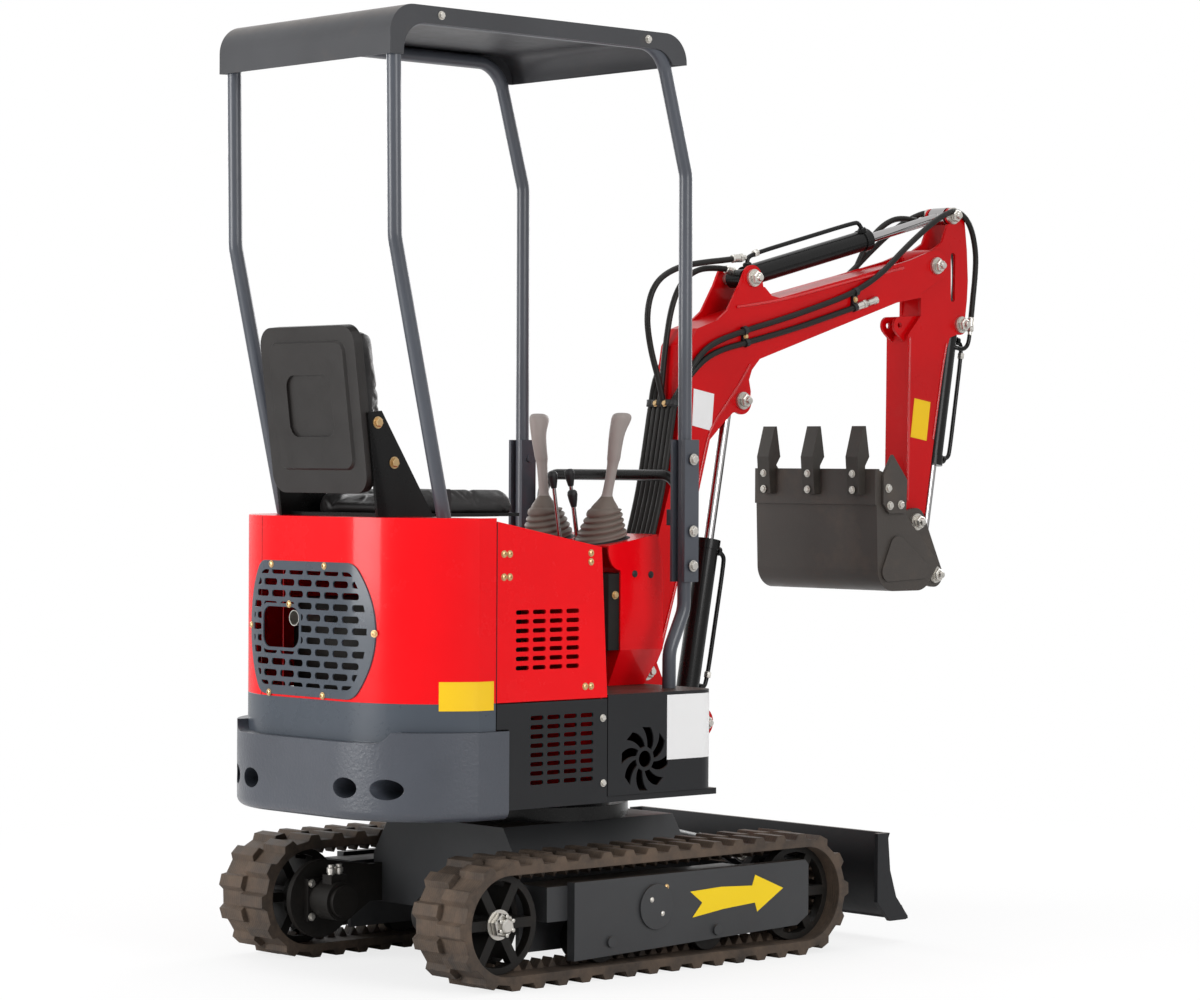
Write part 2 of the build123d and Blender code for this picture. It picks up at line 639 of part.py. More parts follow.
def make_hood():
    """Hood over the engine with its dark lower band, the rear grille and the exhaust pipe."""
    with BuildPart() as band:
        shell(CW_Z[1] - CW_NOTCH[2] + FIT, CW_Z[1] + FIT)
        with BuildSketch(across(CW_REAR)) as dip:
            add(notch(CW_NOTCH[1] - FIT, CW_Z[1] + FIT))
        extrude(dip.sketch, amount=CW_CORNER - CW_REAR, mode=Mode.INTERSECT)
        shell(CW_Z[1] + FIT, SKIRT_TOP)
    finish("rear_skirt", band)

    with BuildPart() as hood:
        shell(SKIRT_TOP, HOOD_TOP)
        with BuildSketch(level(HOOD_TOP - SHEET)) as lid:
            add(tail(HOOD_REAR + 1, HOOD_FLAT, HOOD_CORNER, BODY_HALF - 1, HOOD_CORNER + SHEET))
        extrude(lid.sketch, amount=SHEET)
        block((HOOD_CORNER, PANEL_SPLIT), (-BODY_HALF + 1, BODY_HALF - 1), (HOOD_TOP - SHEET - 4, HOOD_TOP - 4))
        block((HOOD_CORNER, HOOD_CORNER + SHEET), (-BODY_HALF + 1, BODY_HALF - 1), (HOOD_TOP - SHEET - 4, HOOD_TOP))
        with BuildSketch(across(HOOD_REAR - 10)) as window:
            add(grille_face(GRILLE_RIM - 4))
        extrude(window.sketch, amount=120, mode=Mode.SUBTRACT)
    finish("hood", hood)

    with BuildPart() as grille:
        with BuildSketch(level(GRILLE_Z[0])) as plan:
            add(tail(HOOD_REAR - GRILLE_T, HOOD_FLAT, HOOD_CORNER, BODY_HALF + GRILLE_T, HOOD_CORNER + 10))
        extrude(plan.sketch, amount=GRILLE_Z[1] - GRILLE_Z[0])
        with BuildSketch(level(GRILLE_Z[0])) as inside:
            add(tail(HOOD_REAR, HOOD_FLAT, HOOD_CORNER, BODY_HALF, HOOD_CORNER + 20))
        extrude(inside.sketch, amount=GRILLE_Z[1] - GRILLE_Z[0], mode=Mode.SUBTRACT)
        with BuildSketch(across(HOOD_REAR - 10)) as face:
            add(grille_face(0))
        extrude(face.sketch, amount=120, mode=Mode.INTERSECT)
        middle = (GRILLE_Z[0] + GRILLE_Z[1]) / 2
        with BuildSketch(across(HOOD_REAR - 10)) as slots:
            for row in range(-5, 6):
                shift = SLOT_PITCH[0] / 2 if row % 2 else 0
                with Locations((shift, middle + row * SLOT_PITCH[1])):
                    with GridLocations(SLOT_PITCH[0], 1, 7, 1):
                        RectangleRounded(SLOT[0], SLOT[1], SLOT[1] / 2 - 0.5)
            add(grille_face(GRILLE_RIM), mode=Mode.INTERSECT)
            with Locations(((EXHAUST[0] + EXHAUST[1]) / 2, (EXHAUST[2] + EXHAUST[3]) / 2)):
                RectangleRounded(EXHAUST[1] - EXHAUST[0] + 16, EXHAUST[3] - EXHAUST[2] + 16, EXHAUST_ROUND,
                                 mode=Mode.SUBTRACT)
            add(exhaust_face())
        extrude(slots.sketch, amount=120, mode=Mode.SUBTRACT)
    finish("rear_grille", grille)

    with BuildPart() as pipe:
        y, z, r, wall = PIPE
        with BuildSketch(across(HOOD_REAR + PIPE_BACK)) as ring:
            with Locations((y, z)):
                Circle(r)
                Circle(r - wall, mode=Mode.SUBTRACT)
        extrude(ring.sketch, amount=ENGINE_X[0] - HOOD_REAR - PIPE_BACK)
    finish("exhaust_pipe", pipe)


def vents(field):
    """Field of rounded ventilation slots in a side panel, (x, z, columns, rows)."""
    x, z, columns, rows = field
    with BuildSketch(mode=Mode.PRIVATE) as slots:
        with Locations((x, z)):
            with GridLocations(VENT_PITCH[0], VENT_PITCH[1], columns, rows):
                RectangleRounded(VENT[0], VENT[1], VENT[1] / 2 - 0.5)
    return slots.sketch


def make_body():
    """Side panels with their vents, engine, seat base, console and controls."""
    for name, sign in (("right", -1), ("left", 1)):
        y0 = min(sign * BODY_HALF, sign * (BODY_HALF - SHEET))
        with BuildPart() as upper:
            with BuildSketch(side(y0 + SHEET)) as sheet:
                Polygon((PANEL_SPLIT + PANEL_GAP, SKIRT_TOP), (PANEL_FRONT, SKIRT_TOP),
                        (PANEL_FRONT - PANEL_LEAN, PANEL_TOP_FRONT), (PANEL_SPLIT + PANEL_GAP, HOOD_TOP - 8), align=None)
                add(vents(PANEL_VENTS), mode=Mode.SUBTRACT)
            extrude(sheet.sketch, amount=SHEET)
        finish("side_panel_" + name, upper)
        with BuildPart() as lower:
            rear = PANEL_SPLIT + PANEL_GAP
            front = BOX_X[0] - PANEL_GAP
            top = SKIRT_TOP - PANEL_GAP
            with BuildSketch(side(y0 + SHEET)) as sheet:
                Polygon((rear, top), (rear, CW_Z[1] + PANEL_GAP), (CW_FRONT + PANEL_GAP, CW_Z[1] + PANEL_GAP),
                        (CW_FRONT + PANEL_GAP, DECK_Z), (front, DECK_Z), (front, top), align=None)
                add(vents(SKIRT_VENTS), mode=Mode.SUBTRACT)
            extrude(sheet.sketch, amount=SHEET)
        finish("skirt_" + name, lower)

    with BuildPart() as engine:
        block(ENGINE_X, (-ENGINE_HALF, ENGINE_HALF), (DECK_Z + DECK_T, ENGINE_TOP))
    finish("engine", engine)

    with BuildPart() as base:
        corner = PANEL_FRONT - PANEL_LEAN - 4
        plate([(PANEL_SPLIT, HOOD_TOP - 20), (corner, PANEL_TOP_FRONT - 12), (PANEL_FRONT - 4, DECK_Z + DECK_T),
               (PANEL_FRONT - 4 - SHEET, DECK_Z + DECK_T), (corner - SHEET, PANEL_TOP_FRONT - 12 - SHEET),
               (PANEL_SPLIT, HOOD_TOP - 20 - SHEET)], -BODY_HALF + SHEET, BODY_HALF - SHEET)
    finish("seat_base", base)

    with BuildPart() as console:
        x0, x1 = CONSOLE_X
        w0, w1 = CONSOLE_WAIST
        with BuildSketch(side(CONSOLE_HALF)) as profile:
            with BuildLine():
                Spline((x0, CONSOLE_TOP - 15), (w0, CONSOLE_NECK), tangents=((0.2, -1), (1, -0.1)))
                Polyline((w0, CONSOLE_NECK), (w0, FLOOR_Z), (w1 - CONSOLE_TOE, FLOOR_Z), (w1, CONSOLE_BEND),
                         (w1, CONSOLE_NECK), (x1, CONSOLE_TOP + CONSOLE_RISE), (x0, CONSOLE_TOP), (x0, CONSOLE_TOP - 15))
            make_face()
        extrude(profile.sketch, amount=2 * CONSOLE_HALF)
        with BuildSketch(across(x0 - 10)) as front:
            half = CONSOLE_HALF
            Polygon((-half, CONSOLE_TOP + 50), (-half, CONSOLE_BEND), (CONSOLE_TUCK - half, FLOOR_Z),
                    (half - CONSOLE_TUCK, FLOOR_Z), (half, CONSOLE_BEND), (half, CONSOLE_TOP + 50), align=None)
        extrude(front.sketch, amount=w1 - x0 + 20, mode=Mode.INTERSECT)
        inner = CONSOLE_HALF - SHEET
        plate([(x0 - 1, CONSOLE_BEND), (w1 - SHEET, CONSOLE_BEND), (w1 - SHEET, CONSOLE_NECK),
               (x1 - SHEET, CONSOLE_TOP + CONSOLE_RISE - SHEET), (x0 - 1, CONSOLE_TOP - SHEET)],
              -inner, inner, Mode.SUBTRACT)
        inner -= CONSOLE_TUCK
        plate([(x0 - 1, FLOOR_Z - 1), (w1 - CONSOLE_TOE - SHEET, FLOOR_Z - 1), (w1 - SHEET, CONSOLE_BEND + 1),
               (x0 - 1, CONSOLE_BEND + 1)], -inner, inner, Mode.SUBTRACT)
    finish("console", console)

    with BuildPart() as valves:
        inner = CONSOLE_HALF - SHEET
        block(VALVE_X, (-inner, inner), (CONSOLE_BEND, VALVE_Z[1]))
        inner -= CONSOLE_TUCK
        block(VALVE_X, (-inner, inner), (VALVE_Z[0], CONSOLE_BEND))
    finish("valve_block", valves)

    top = Plane(origin=(AXIS_X + CONSOLE_X[0], 0, CONSOLE_TOP), x_dir=(CONSOLE_X[1] - CONSOLE_X[0], 0, CONSOLE_RISE),
                z_dir=(-CONSOLE_RISE, 0, CONSOLE_X[1] - CONSOLE_X[0]))
    with BuildPart() as sticks:
        for sign in (-1, 1):
            root = (AXIS_X + STICK_X, sign * STICK_Y, CONSOLE_TOP)
            lean = Plane(origin=root, x_dir=(1, 0, 0), z_dir=(STICK_TOP[0] - STICK_X, sign * (STICK_TOP[1] - STICK_Y),
                                                              STICK_TOP[2] - CONSOLE_TOP))
            length = STICK_TOP[2] - CONSOLE_TOP
            step = BOOT_HEIGHT / BOOT_RINGS
            outline = [(0, -20), (BOOT_R, -20)]
            for k in range(BOOT_RINGS):
                r = BOOT_R - (BOOT_R - GRIP_R - 6) * k / BOOT_RINGS
                outline += [(r, step * k + 6), (r - 11, step * (k + 1) - 3)]
            outline += [(GRIP_R, BOOT_HEIGHT), (GRIP_R, length * 0.7), (GRIP_R + 9, length * 0.88),
                        (GRIP_R + 9, length - 12), (GRIP_R, length), (0, length)]
            with BuildSketch(Plane(origin=root, x_dir=lean.x_dir, z_dir=-lean.y_dir)) as profile:
                Polygon(*outline, align=None)
            revolve(profile.sketch, axis=Axis(lean.origin, lean.z_dir))
        split(bisect_by=top, keep=Keep.TOP)
    finish("joysticks", sticks)

    with BuildPart() as levers:
        for x, y, height in LEVERS:
            for start, length, r in ((0, height, 5), (height, 40, KNOB_R)):
                with BuildSketch(top.offset(start)) as section:
                    with Locations((x - CONSOLE_X[0], y)):
                        Circle(r)
                extrude(section.sketch, amount=length)
        fillet(levers.edges().filter_by(GeomType.CIRCLE).group_by(SortBy.RADIUS)[-1], KNOB_ROUND)
    finish("levers", levers)


def make_seat():
    """Seat pan, cushions and their side brackets."""
    lean = Plane(origin=(AXIS_X + SEAT_PAN[0], 0, SEAT_PAN[1]), x_dir=(0, 1, 0),
                 z_dir=(SEAT_PAN_TOP[1] - SEAT_PAN[1], 0, SEAT_PAN[0] - SEAT_PAN_TOP[0]))
    height = hypot(SEAT_PAN_TOP[0] - SEAT_PAN[0], SEAT_PAN_TOP[1] - SEAT_PAN[1])
    with BuildPart() as pan:
        with BuildSketch(lean) as back:
            with Locations((0, height / 2)):
                RectangleRounded(SEAT_WIDTH, height, 45)
        extrude(back.sketch, amount=PAN_T)
        for width, trim, depth in ((SEAT_WIDTH - 70, 90, PRESS), (SEAT_WIDTH - 190, 250, -PRESS)):
            with BuildSketch(lean.offset(-PRESS if depth < 0 else 0)) as press:
                with Locations((0, height / 2 + 10)):
                    RectangleRounded(width, height - trim, 30)
            extrude(press.sketch, amount=-depth, taper=35 if depth > 0 else 0,
                    mode=Mode.ADD if depth > 0 else Mode.SUBTRACT)
    finish("seat_back_pan", pan)
    with BuildPart() as pad:
        with BuildSketch(lean.offset(PAN_T)) as back:
            with Locations((0, height / 2)):
                RectangleRounded(SEAT_WIDTH - 10, height - 10, 45)
        extrude(back.sketch, amount=PAD_T)
    finish("seat_back_cushion", pad)
    with BuildPart() as cushion:
        with BuildSketch(level(CUSHION_Z[0])) as plan:
            with Locations(((CUSHION_X[0] + CUSHION_X[1]) / 2, 0)):
                RectangleRounded(CUSHION_X[1] - CUSHION_X[0], SEAT_WIDTH, 50)
        extrude(plan.sketch, amount=CUSHION_Z[1] - CUSHION_Z[0])
    finish("seat_cushion", cushion)
    with BuildPart() as brackets:
        for y0, y1 in spans(SEAT_WIDTH / 2 + FIT, SEAT_WIDTH / 2 + 9):
            plate([(-700, 1345), (-660, 1350), (-500, HOOD_TOP), (-670, HOOD_TOP)], y0, y1)
        block((-640, -230), (-SEAT_WIDTH / 2 - 9, SEAT_WIDTH / 2 + 9), (HOOD_TOP, CUSHION_Z[0]))
    finish("seat_brackets", brackets)


def make_rops():
    """Roll-over tubes, post brackets, front hoop and canopy."""
    for name, sign in (("right", -1), ("left", 1)):
        y = sign * POST_Y
        with BuildPart() as tube:
            with BuildLine(side(y)) as path:
                FilletPolyline((-555, HOOD_TOP - 50), (-719, 1752), (-726, RAIL_Z), (120, RAIL_Z), (211, 1946),
                               (POST_X, 1250), (POST_X, 868), (POST_FOOT, 765), (POST_FOOT, FLOOR_Z - 50),
                               radius=POST_BENDS)
            with BuildSketch(Plane(origin=path.line @ 0, z_dir=path.line % 0)) as section:
                Circle(TUBE_R)
            sweep(section.sketch, path=path.line)
            block((-640, -480), (y - 30, y + 30), (HOOD_TOP - 90, HOOD_TOP), Mode.SUBTRACT)
            block((80, 220), (y - 30, y + 30), (FLOOR_Z - 90, FLOOR_Z), Mode.SUBTRACT)
        finish("rops_" + name, tube)
    with BuildPart() as sleeves:
        for sign in (-1, 1):
            y = sign * POST_Y
            block((POST_X - 24, POST_X + 24), (y - 26, y + 26), (936, 1289))
            foot = sign * HOOP_FOOT
            block((HOOP_X - 22, HOOP_X + 22), (foot - 24, foot + 24), (HOOP_Z - 125, HOOP_Z - 85))
            with BuildSketch(level(HOOP_Z - 120)) as socket:
                with Locations((HOOP_X, foot)):
                    Circle(HOOP_R + RUN)
            extrude(socket.sketch, amount=40, mode=Mode.SUBTRACT)
            block((POST_X - 25, POST_X + 25), (y - TUBE_R - 0.5, y + TUBE_R + 0.5), (930, 1300), Mode.SUBTRACT)
            for z in (980, 1240):
                bar((POST_X, z), 9, y - 32, y - TUBE_R - 0.5)
                bar((POST_X, z), 9, y + TUBE_R + 0.5, y + 32)
    finish("post_brackets", sleeves)
    with BuildPart() as hoop:
        with BuildLine(Plane(origin=(AXIS_X + HOOP_X, 0, HOOP_Z), x_dir=(0, 1, 0), z_dir=(1, 0, 0))) as path:
            FilletPolyline((-HOOP_FOOT, -120), (-HOOP_FOOT, 0), (HOOP_FOOT, 0), (HOOP_FOOT, -120), radius=60)
        with BuildSketch(Plane(origin=path.line @ 0, z_dir=path.line % 0)) as section:
            Circle(HOOP_R)
        sweep(section.sketch, path=path.line)
    finish("hoop", hoop)
    with BuildPart() as canopy:
        rear, front = CANOPY_REAR, CANOPY_FRONT
        for y0, y1, depth in ((-CANOPY_HALF, CANOPY_HALF, SHEET), (-CANOPY_HALF, -CANOPY_HALF + SHEET, VALANCE),
                              (CANOPY_HALF - SHEET, CANOPY_HALF, VALANCE)):
            with BuildSketch(side(y1)) as shape:
                with BuildLine():
                    FilletPolyline(rear, (rear[0], CANOPY_TOP), (front[0], CANOPY_TOP), front, radius=CANOPY_ROLL)
                    Line(front, rear)
                make_face()
                inner = CANOPY_TOP - depth
                with BuildLine():
                    FilletPolyline((rear[0] + depth, rear[1] - 99), (rear[0] + depth, inner),
                                   (front[0] - depth, inner), (front[0] - depth, front[1] - 99),
                                   radius=CANOPY_ROLL - SHEET)
                    Line((front[0] - depth, front[1] - 99), (rear[0] + depth, rear[1] - 99))
                make_face(mode=Mode.SUBTRACT)
            extrude(shape.sketch, amount=y1 - y0)
    finish("canopy", canopy)


def make_boom():
    """Boom box with its lobes, ears and fork, and the pins it carries."""
    lobe = [(379, 751), (486, 1084), (546, 1292), (590, 1331), (629, 1363),
            (690, 1372), (695, 1420), (688, 1450), (699, 1477), (728, 1506),
            (1109, 1626), (1255, 1672), (1352, 1689)]
    top = [(1367, 1806), (1287, 1785), (1116, 1743), (801, 1669), (771, 1674), (745, 1696),
           (650, 1696), (609, 1631), (573, 1604), (500, 1580), (470, 1535), (408, 1180), (262, 730)]
    core_front = [(379, 751), (486, 1084), (530, 1290), (640, 1490), (728, 1506), (1255, 1672), (1325, 1684)]
    core_top = [(1325, 1740), (1290, 1780), (1116, 1743), (780, 1664), (573, 1604), (500, 1580),
                (470, 1535), (408, 1180), (262, 730)]
    with BuildPart() as boom:
        for y0, y1 in spans(BOOM_HALF - PLATE, BOOM_HALF):
            plate(lobe + top, y0, y1)
            link([(*BOOM_CYL_EYE, 36)], y0, y1)
            link([(*ARM_CYL_BASE, 34), (690, 1640, 60)], y0, y1)
            link([(*ELBOW, 44), (1330, 1745, 50)], y0, y1)
        plate(core_front + core_top, -BOOM_HALF + PLATE, BOOM_HALF - PLATE)
        bar(FOOT, 45, -BOOM_HALF, BOOM_HALF)
        plate([(262, 730), (379, 751), (340, 680), (262, 680)], -BOOM_HALF, BOOM_HALF)
        bar(FOOT, PIN_R + RUN, -90, 90, Mode.SUBTRACT)
        for centre in (BOOM_CYL_EYE, ARM_CYL_BASE, ELBOW):
            bar(centre, PIN_R + RUN / 2, -90, 90, Mode.SUBTRACT)
    finish("boom", boom)
    with BuildPart() as pins:
        pin(ARM_CYL_BASE, -BOOM_HALF, BOOM_HALF)
        pin(ELBOW, -BOOM_HALF, BOOM_HALF)
        stub(BOOM_CYL_EYE, BOOM_CYL[4] + 1, BOOM_HALF)
    finish("boom_pins", pins)


def make_dipper():
    """Dipper box with its open head, thumb bracket and the pins it carries."""
    outline = [(1367, 1800), (1451, 1845), (1475, 1896), (1541, 1930), (1554, 1830), (1559, 1746), (1556, 1691),
               (1548, 1635), (1536, 1598), (1486, 1583), (1462, 1521), (1388, 1097), (1292, 1060),
               (1312, 1100), (1315, 1586), (1366, 1640)]
    core = [(1366, 1640), (1384, 1640), (1476, 1560), (1462, 1521), (1388, 1097), (1292, 1060), (1312, 1100), (1315, 1586)]
    half = DIPPER_HALF
    with BuildPart() as dipper:
        for y0, y1 in spans(half - PLATE, half):
            plate(outline, y0, y1)
            link([(*ARM_CYL_EYE, 23)], y0, y1)
            link([(*BUCKET_CYL_BASE, 28)], y0, y1)
            link([(1497, 1690, 8), (1497, 1810, 9)], y0, y1, Mode.SUBTRACT)
        plate(core, -half + PLATE, half - PLATE)
        bar(ELBOW, 45, -half - 4, half + 4)
        plate([(1366, 1620), (1384, 1620), (1398, 1745), (1380, 1745)], -half + PLATE, half - PLATE)
        bar(TIP, 40, -half, half)
        bar(ELBOW, PIN_R + RUN, -99, 99, Mode.SUBTRACT)
        bar(TIP, PIN_R + RUN, -99, 99, Mode.SUBTRACT)
        bar(ARM_CYL_EYE, PIN_R + RUN / 2, -99, 99, Mode.SUBTRACT)
        bar(BUCKET_CYL_BASE, PIN_R + RUN / 2, -99, 99, Mode.SUBTRACT)
        for y0, y1 in spans(18, 26):
            plate([(1370, 1640), (1300, 1636), (1285, 1590), (1325, 1560)], y0, y1)
            link([(*THUMB_PIN, 24)], y0, y1)
        bar(THUMB_PIN, THUMB_BORE, -40, 40, Mode.SUBTRACT)
    finish("dipper", dipper)
    with BuildPart() as pins:
        stub(ARM_CYL_EYE, ARM_CYL[4] + 1, half)
        pin(BUCKET_CYL_BASE, -half, half)
    finish("dipper_pins", pins)


def make_bucket():
    """Bucket shell, ears, teeth, side cutters and pins."""
    half = BUCKET_HALF
    outline = ((993, 1218), (1003, 893), (1186, 893), (1242, 965))
    with BuildPart() as bucket:
        with BuildSketch(side(half)) as profile:
            with BuildLine():
                FilletPolyline(*outline, radius=BUCKET_BEND)
                offset(amount=PLATE, side=Side.LEFT)
            make_face()
        extrude(profile.sketch, amount=2 * half)
        for y0, y1 in spans(half - PLATE, half):
            with BuildSketch(side(y1)) as cheek:
                with BuildLine():
                    FilletPolyline(*outline, radius=BUCKET_BEND)
                    Polyline((1242, 965), (1105, 1100), (1090, 1190), (993, 1218))
                make_face()
            extrude(cheek.sketch, amount=PLATE)
        block((990, 1006), (-half, half), (1123, 1218))
        for y0, y1 in spans(*BUCKET_EAR):
            link([(*TIP, 38), (*BUCKET_EYE, 34), (1225, 960, 32), (1235, 1050, 40)], y0, y1)
        for y0, y1 in spans(half, half + WEAR):
            link([(1040, 945, 26), (1180, 945, 20), (1075, 1010, 30)], y0, y1)
        bar(TIP, PIN_R + RUN / 2, -99, 99, Mode.SUBTRACT)
        bar(BUCKET_EYE, PIN_R + RUN / 2, -99, 99, Mode.SUBTRACT)
    finish("bucket", bucket)
    with BuildPart() as teeth:
        for y in (-TOOTH_Y, 0, TOOTH_Y):
            plate([(990, 1150), (990, 1226), (1006, 1250), (992, 1332), (984, 1332), (960, 1250), (968, 1150)],
                  y - 22, y + 22)
    finish("bucket_teeth", teeth)
    with BuildPart() as cutters:
        for y0, y1 in spans(half, half + 10):
            plate([(1012, 1125), (1012, 1200), (1048, 1256), (1104, 1190), (1100, 1100), (1035, 1100)], y0, y1)
    finish("side_cutters", cutters)
    with BuildPart() as pins:
        pin(TIP, -BUCKET_EAR[1], BUCKET_EAR[1])
        stub(BUCKET_EYE, BUCKET_CYL[4] + 1, BUCKET_EAR[1])
    finish("bucket_pins", pins)


def make_cylinder(name, base, eye, size, inner_end):
    """Hydraulic cylinder: barrel with its base eye, and rod with its rod eye."""
    barrel_r, rod_r, length, eye_r, eye_half = size
    rest = hypot(eye[0] - base[0], eye[1] - base[1])
    axis = Plane(origin=(AXIS_X + base[0], 0, base[1]), x_dir=(0, 1, 0), z_dir=(eye[0] - base[0], 0, eye[1] - base[1]))
    with BuildPart() as barrel:
        bar(base, eye_r, -eye_half, eye_half)
        with BuildSketch(axis.offset(eye_r - 3)) as section:
            Circle(barrel_r)
        extrude(section.sketch, amount=length - eye_r + 3)
        with BuildSketch(axis.offset(length - GLAND)) as head:
            Circle(barrel_r + GLAND_RIM)
        extrude(head.sketch, amount=GLAND)
        bar(base, PIN_R + RUN, -barrel_r, barrel_r, Mode.SUBTRACT)
        with BuildSketch(axis.offset(eye_r + 10)) as bore:
            Circle(rod_r + RUN)
        extrude(bore.sketch, amount=length, mode=Mode.SUBTRACT)
    finish(name + "_barrel", barrel)
    with BuildPart() as rod:
        with BuildSketch(axis.offset(inner_end)) as section:
            Circle(rod_r)
        extrude(section.sketch, amount=rest - inner_end)
        bar(eye, eye_r, -eye_half, eye_half)
    finish(name + "_rod", rod)


def make_pins():
    """Pins that stay with the upper structure and with the undercarriage."""
    with BuildPart() as upper:
        outer = BOOM_HALF + EAR_GAP + EAR_T
        pin(FOOT, -outer, outer)
        pin(BOOM_CYL_BASE, -outer, outer)
    finish("upper_pins", upper)
    with BuildPart() as lower:
        for y in (-ARM_Y, ARM_Y):
            pin(BLADE_PIVOT, y - 34, y + 34)
        pin(BLADE_CYL_BASE, -36, 36)
    finish("undercarriage_pins", lower)
    with BuildPart() as blade:
        stub(BLADE_CYL_EYE, BLADE_CYL[4] + 1, 35)
    finish("blade_pins", blade)


def main():
    """Build every piece and write one STEP file for each."""
    make_undercarriage()
    make_blade()
    make_deck()
    make_counterweight()
    make_hood()
    make_body()
    make_seat()
    make_rops()
    make_boom()
    make_dipper()
    make_bucket()
    make_cylinder("boom_cylinder", BOOM_CYL_BASE, BOOM_CYL_EYE, BOOM_CYL, 300)
    make_cylinder("arm_cylinder", ARM_CYL_BASE, ARM_CYL_EYE, ARM_CYL, 300)
    make_cylinder("bucket_cylinder", BUCKET_CYL_BASE, BUCKET_EYE, BUCKET_CYL, 290)
    make_cylinder("blade_cylinder", BLADE_CYL_BASE, BLADE_CYL_EYE, BLADE_CYL, 150)
    make_pins()


main()
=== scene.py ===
"""Looks of the mini excavator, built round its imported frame. Points are machine millimetres."""
import json
from math import asin, cos, pi, radians, sin, sqrt

import bmesh
import bpy
from mathutils import Matrix, Vector, noise as field


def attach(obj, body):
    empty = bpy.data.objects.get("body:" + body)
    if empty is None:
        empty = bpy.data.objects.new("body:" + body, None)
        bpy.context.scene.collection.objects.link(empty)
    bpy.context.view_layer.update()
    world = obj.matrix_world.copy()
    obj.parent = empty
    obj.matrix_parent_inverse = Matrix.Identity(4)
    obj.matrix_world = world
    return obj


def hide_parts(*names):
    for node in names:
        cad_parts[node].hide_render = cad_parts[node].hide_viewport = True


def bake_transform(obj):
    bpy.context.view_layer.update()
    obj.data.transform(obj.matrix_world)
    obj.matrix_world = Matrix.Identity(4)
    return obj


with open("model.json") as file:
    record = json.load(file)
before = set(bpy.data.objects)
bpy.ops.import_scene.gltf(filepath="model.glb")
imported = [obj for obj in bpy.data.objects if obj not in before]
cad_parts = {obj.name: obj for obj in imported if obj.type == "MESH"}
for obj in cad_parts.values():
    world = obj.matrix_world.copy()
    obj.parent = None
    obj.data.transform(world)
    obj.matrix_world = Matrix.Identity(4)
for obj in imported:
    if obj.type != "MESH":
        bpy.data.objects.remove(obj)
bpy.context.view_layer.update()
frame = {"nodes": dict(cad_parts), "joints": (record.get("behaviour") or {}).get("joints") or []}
scene = bpy.context.scene
nodes = frame["nodes"]
joints = {joint["name"]: joint for joint in frame["joints"]}
AXIS_X = joints["slew"]["pos_m"][0]
MM = 0.001
TO_METRES = Matrix.Translation((AXIS_X, 0, 0)) @ Matrix.Scale(MM, 4)


def pivot(name):
    """(x, z) of a joint's axis in machine millimetres."""
    x, _, z = joints[name]["pos_m"]
    return round((x - AXIS_X) / MM, 3), round(z / MM, 3)


# Camera fitted to the photograph
CAMERA_AT = (-6.3806, -6.7597, 1.2310)
CAMERA_YAW = radians(47.51)
CAMERA_PITCH = -0.0104
CAMERA_ROLL = 0.0055
LENS = 108.0
SENSOR_WIDTH = 36.0
CLIP_END = 200.0

# Floor, world and lamps (name, place, aim, size, power), in metres and watts
FLOOR_REACH = 90.0
FLOOR_GREY = (0.93, 0.93, 0.93)
FLOOR_FADE = (1.2, 3.4)
FLOOR_NEAR = 0.78
LAMPS = (
    ("rear", (-6.0, 1.4, 2.0), (0, 0, 1.0), 2.7, 230),
    ("side", (-0.8, -6.4, 3.2), (0.1, 0, 0.9), 3.0, 190),
    ("front", (5.5, 1.5, 3.0), (0, 0, 1.0), 3.0, 120),
    ("far", (0.5, 6.2, 3.0), (0, 0, 1.0), 3.0, 110),
    ("top", (-0.4, -0.3, 6.2), (0, 0, 0), 3.6, 90),
)
WORLD_LIGHT = 0.42

# Colours, linear
RED = (0.76, 0.0005, 0.0045)
BOOM_RED = (0.50, 0.0005, 0.0025)
SEAM_RED = (0.060, 0.002, 0.003)
CAST_GREY = (0.050, 0.056, 0.070)
BAND_GREY = (0.050, 0.061, 0.077)
TUBE_GREY = (0.060, 0.066, 0.080)
CANOPY_GREY = (0.041, 0.042, 0.046)
STEEL_GREY = (0.034, 0.035, 0.037)
DARK_GREY = (0.013, 0.0135, 0.015)
BUCKET_GREY = (0.048, 0.041, 0.036)
TOOTH_GREY = (0.030, 0.026, 0.022)
BOOT_GREY = (0.150, 0.122, 0.103)
GRIP_GREY = (0.300, 0.265, 0.248)
BLACK = (0.0045, 0.0045, 0.0045)
PAN_BLACK = (0.016, 0.014, 0.013)
OILY_BLACK = (0.008, 0.007, 0.006)
PLASTIC_BLACK = (0.011, 0.011, 0.012)
VINYL_BLACK = (0.012, 0.011, 0.011)
HOSE_BLACK = (0.010, 0.009, 0.008)
RUBBER = (0.036, 0.027, 0.021)
YELLOW = (0.86, 0.60, 0.004)
LABEL_YELLOW = (0.80, 0.50, 0.006)
WHITE = (0.74, 0.74, 0.74)
ZINC = (0.56, 0.54, 0.50)
BRASS = (0.58, 0.40, 0.20)
CHROME = (0.40, 0.39, 0.39)
DUST = (0.150, 0.108, 0.076)
FRAME_DUST = (0.060, 0.044, 0.033)
RUST_DUST = (0.050, 0.028, 0.019)
OILY_DUST = (0.045, 0.033, 0.025)
HOSE_DUST = (0.040, 0.032, 0.024)
TRACK_DUST = (0.125, 0.087, 0.061)
BUCKET_DUST = (0.105, 0.078, 0.058)
TOOTH_DUST = (0.080, 0.058, 0.043)

# Noise scales of the finishes, per metre
BROAD_SCALE = 3.2
PATCH_SCALE = 9.0
GRIT_SCALE = 42.0

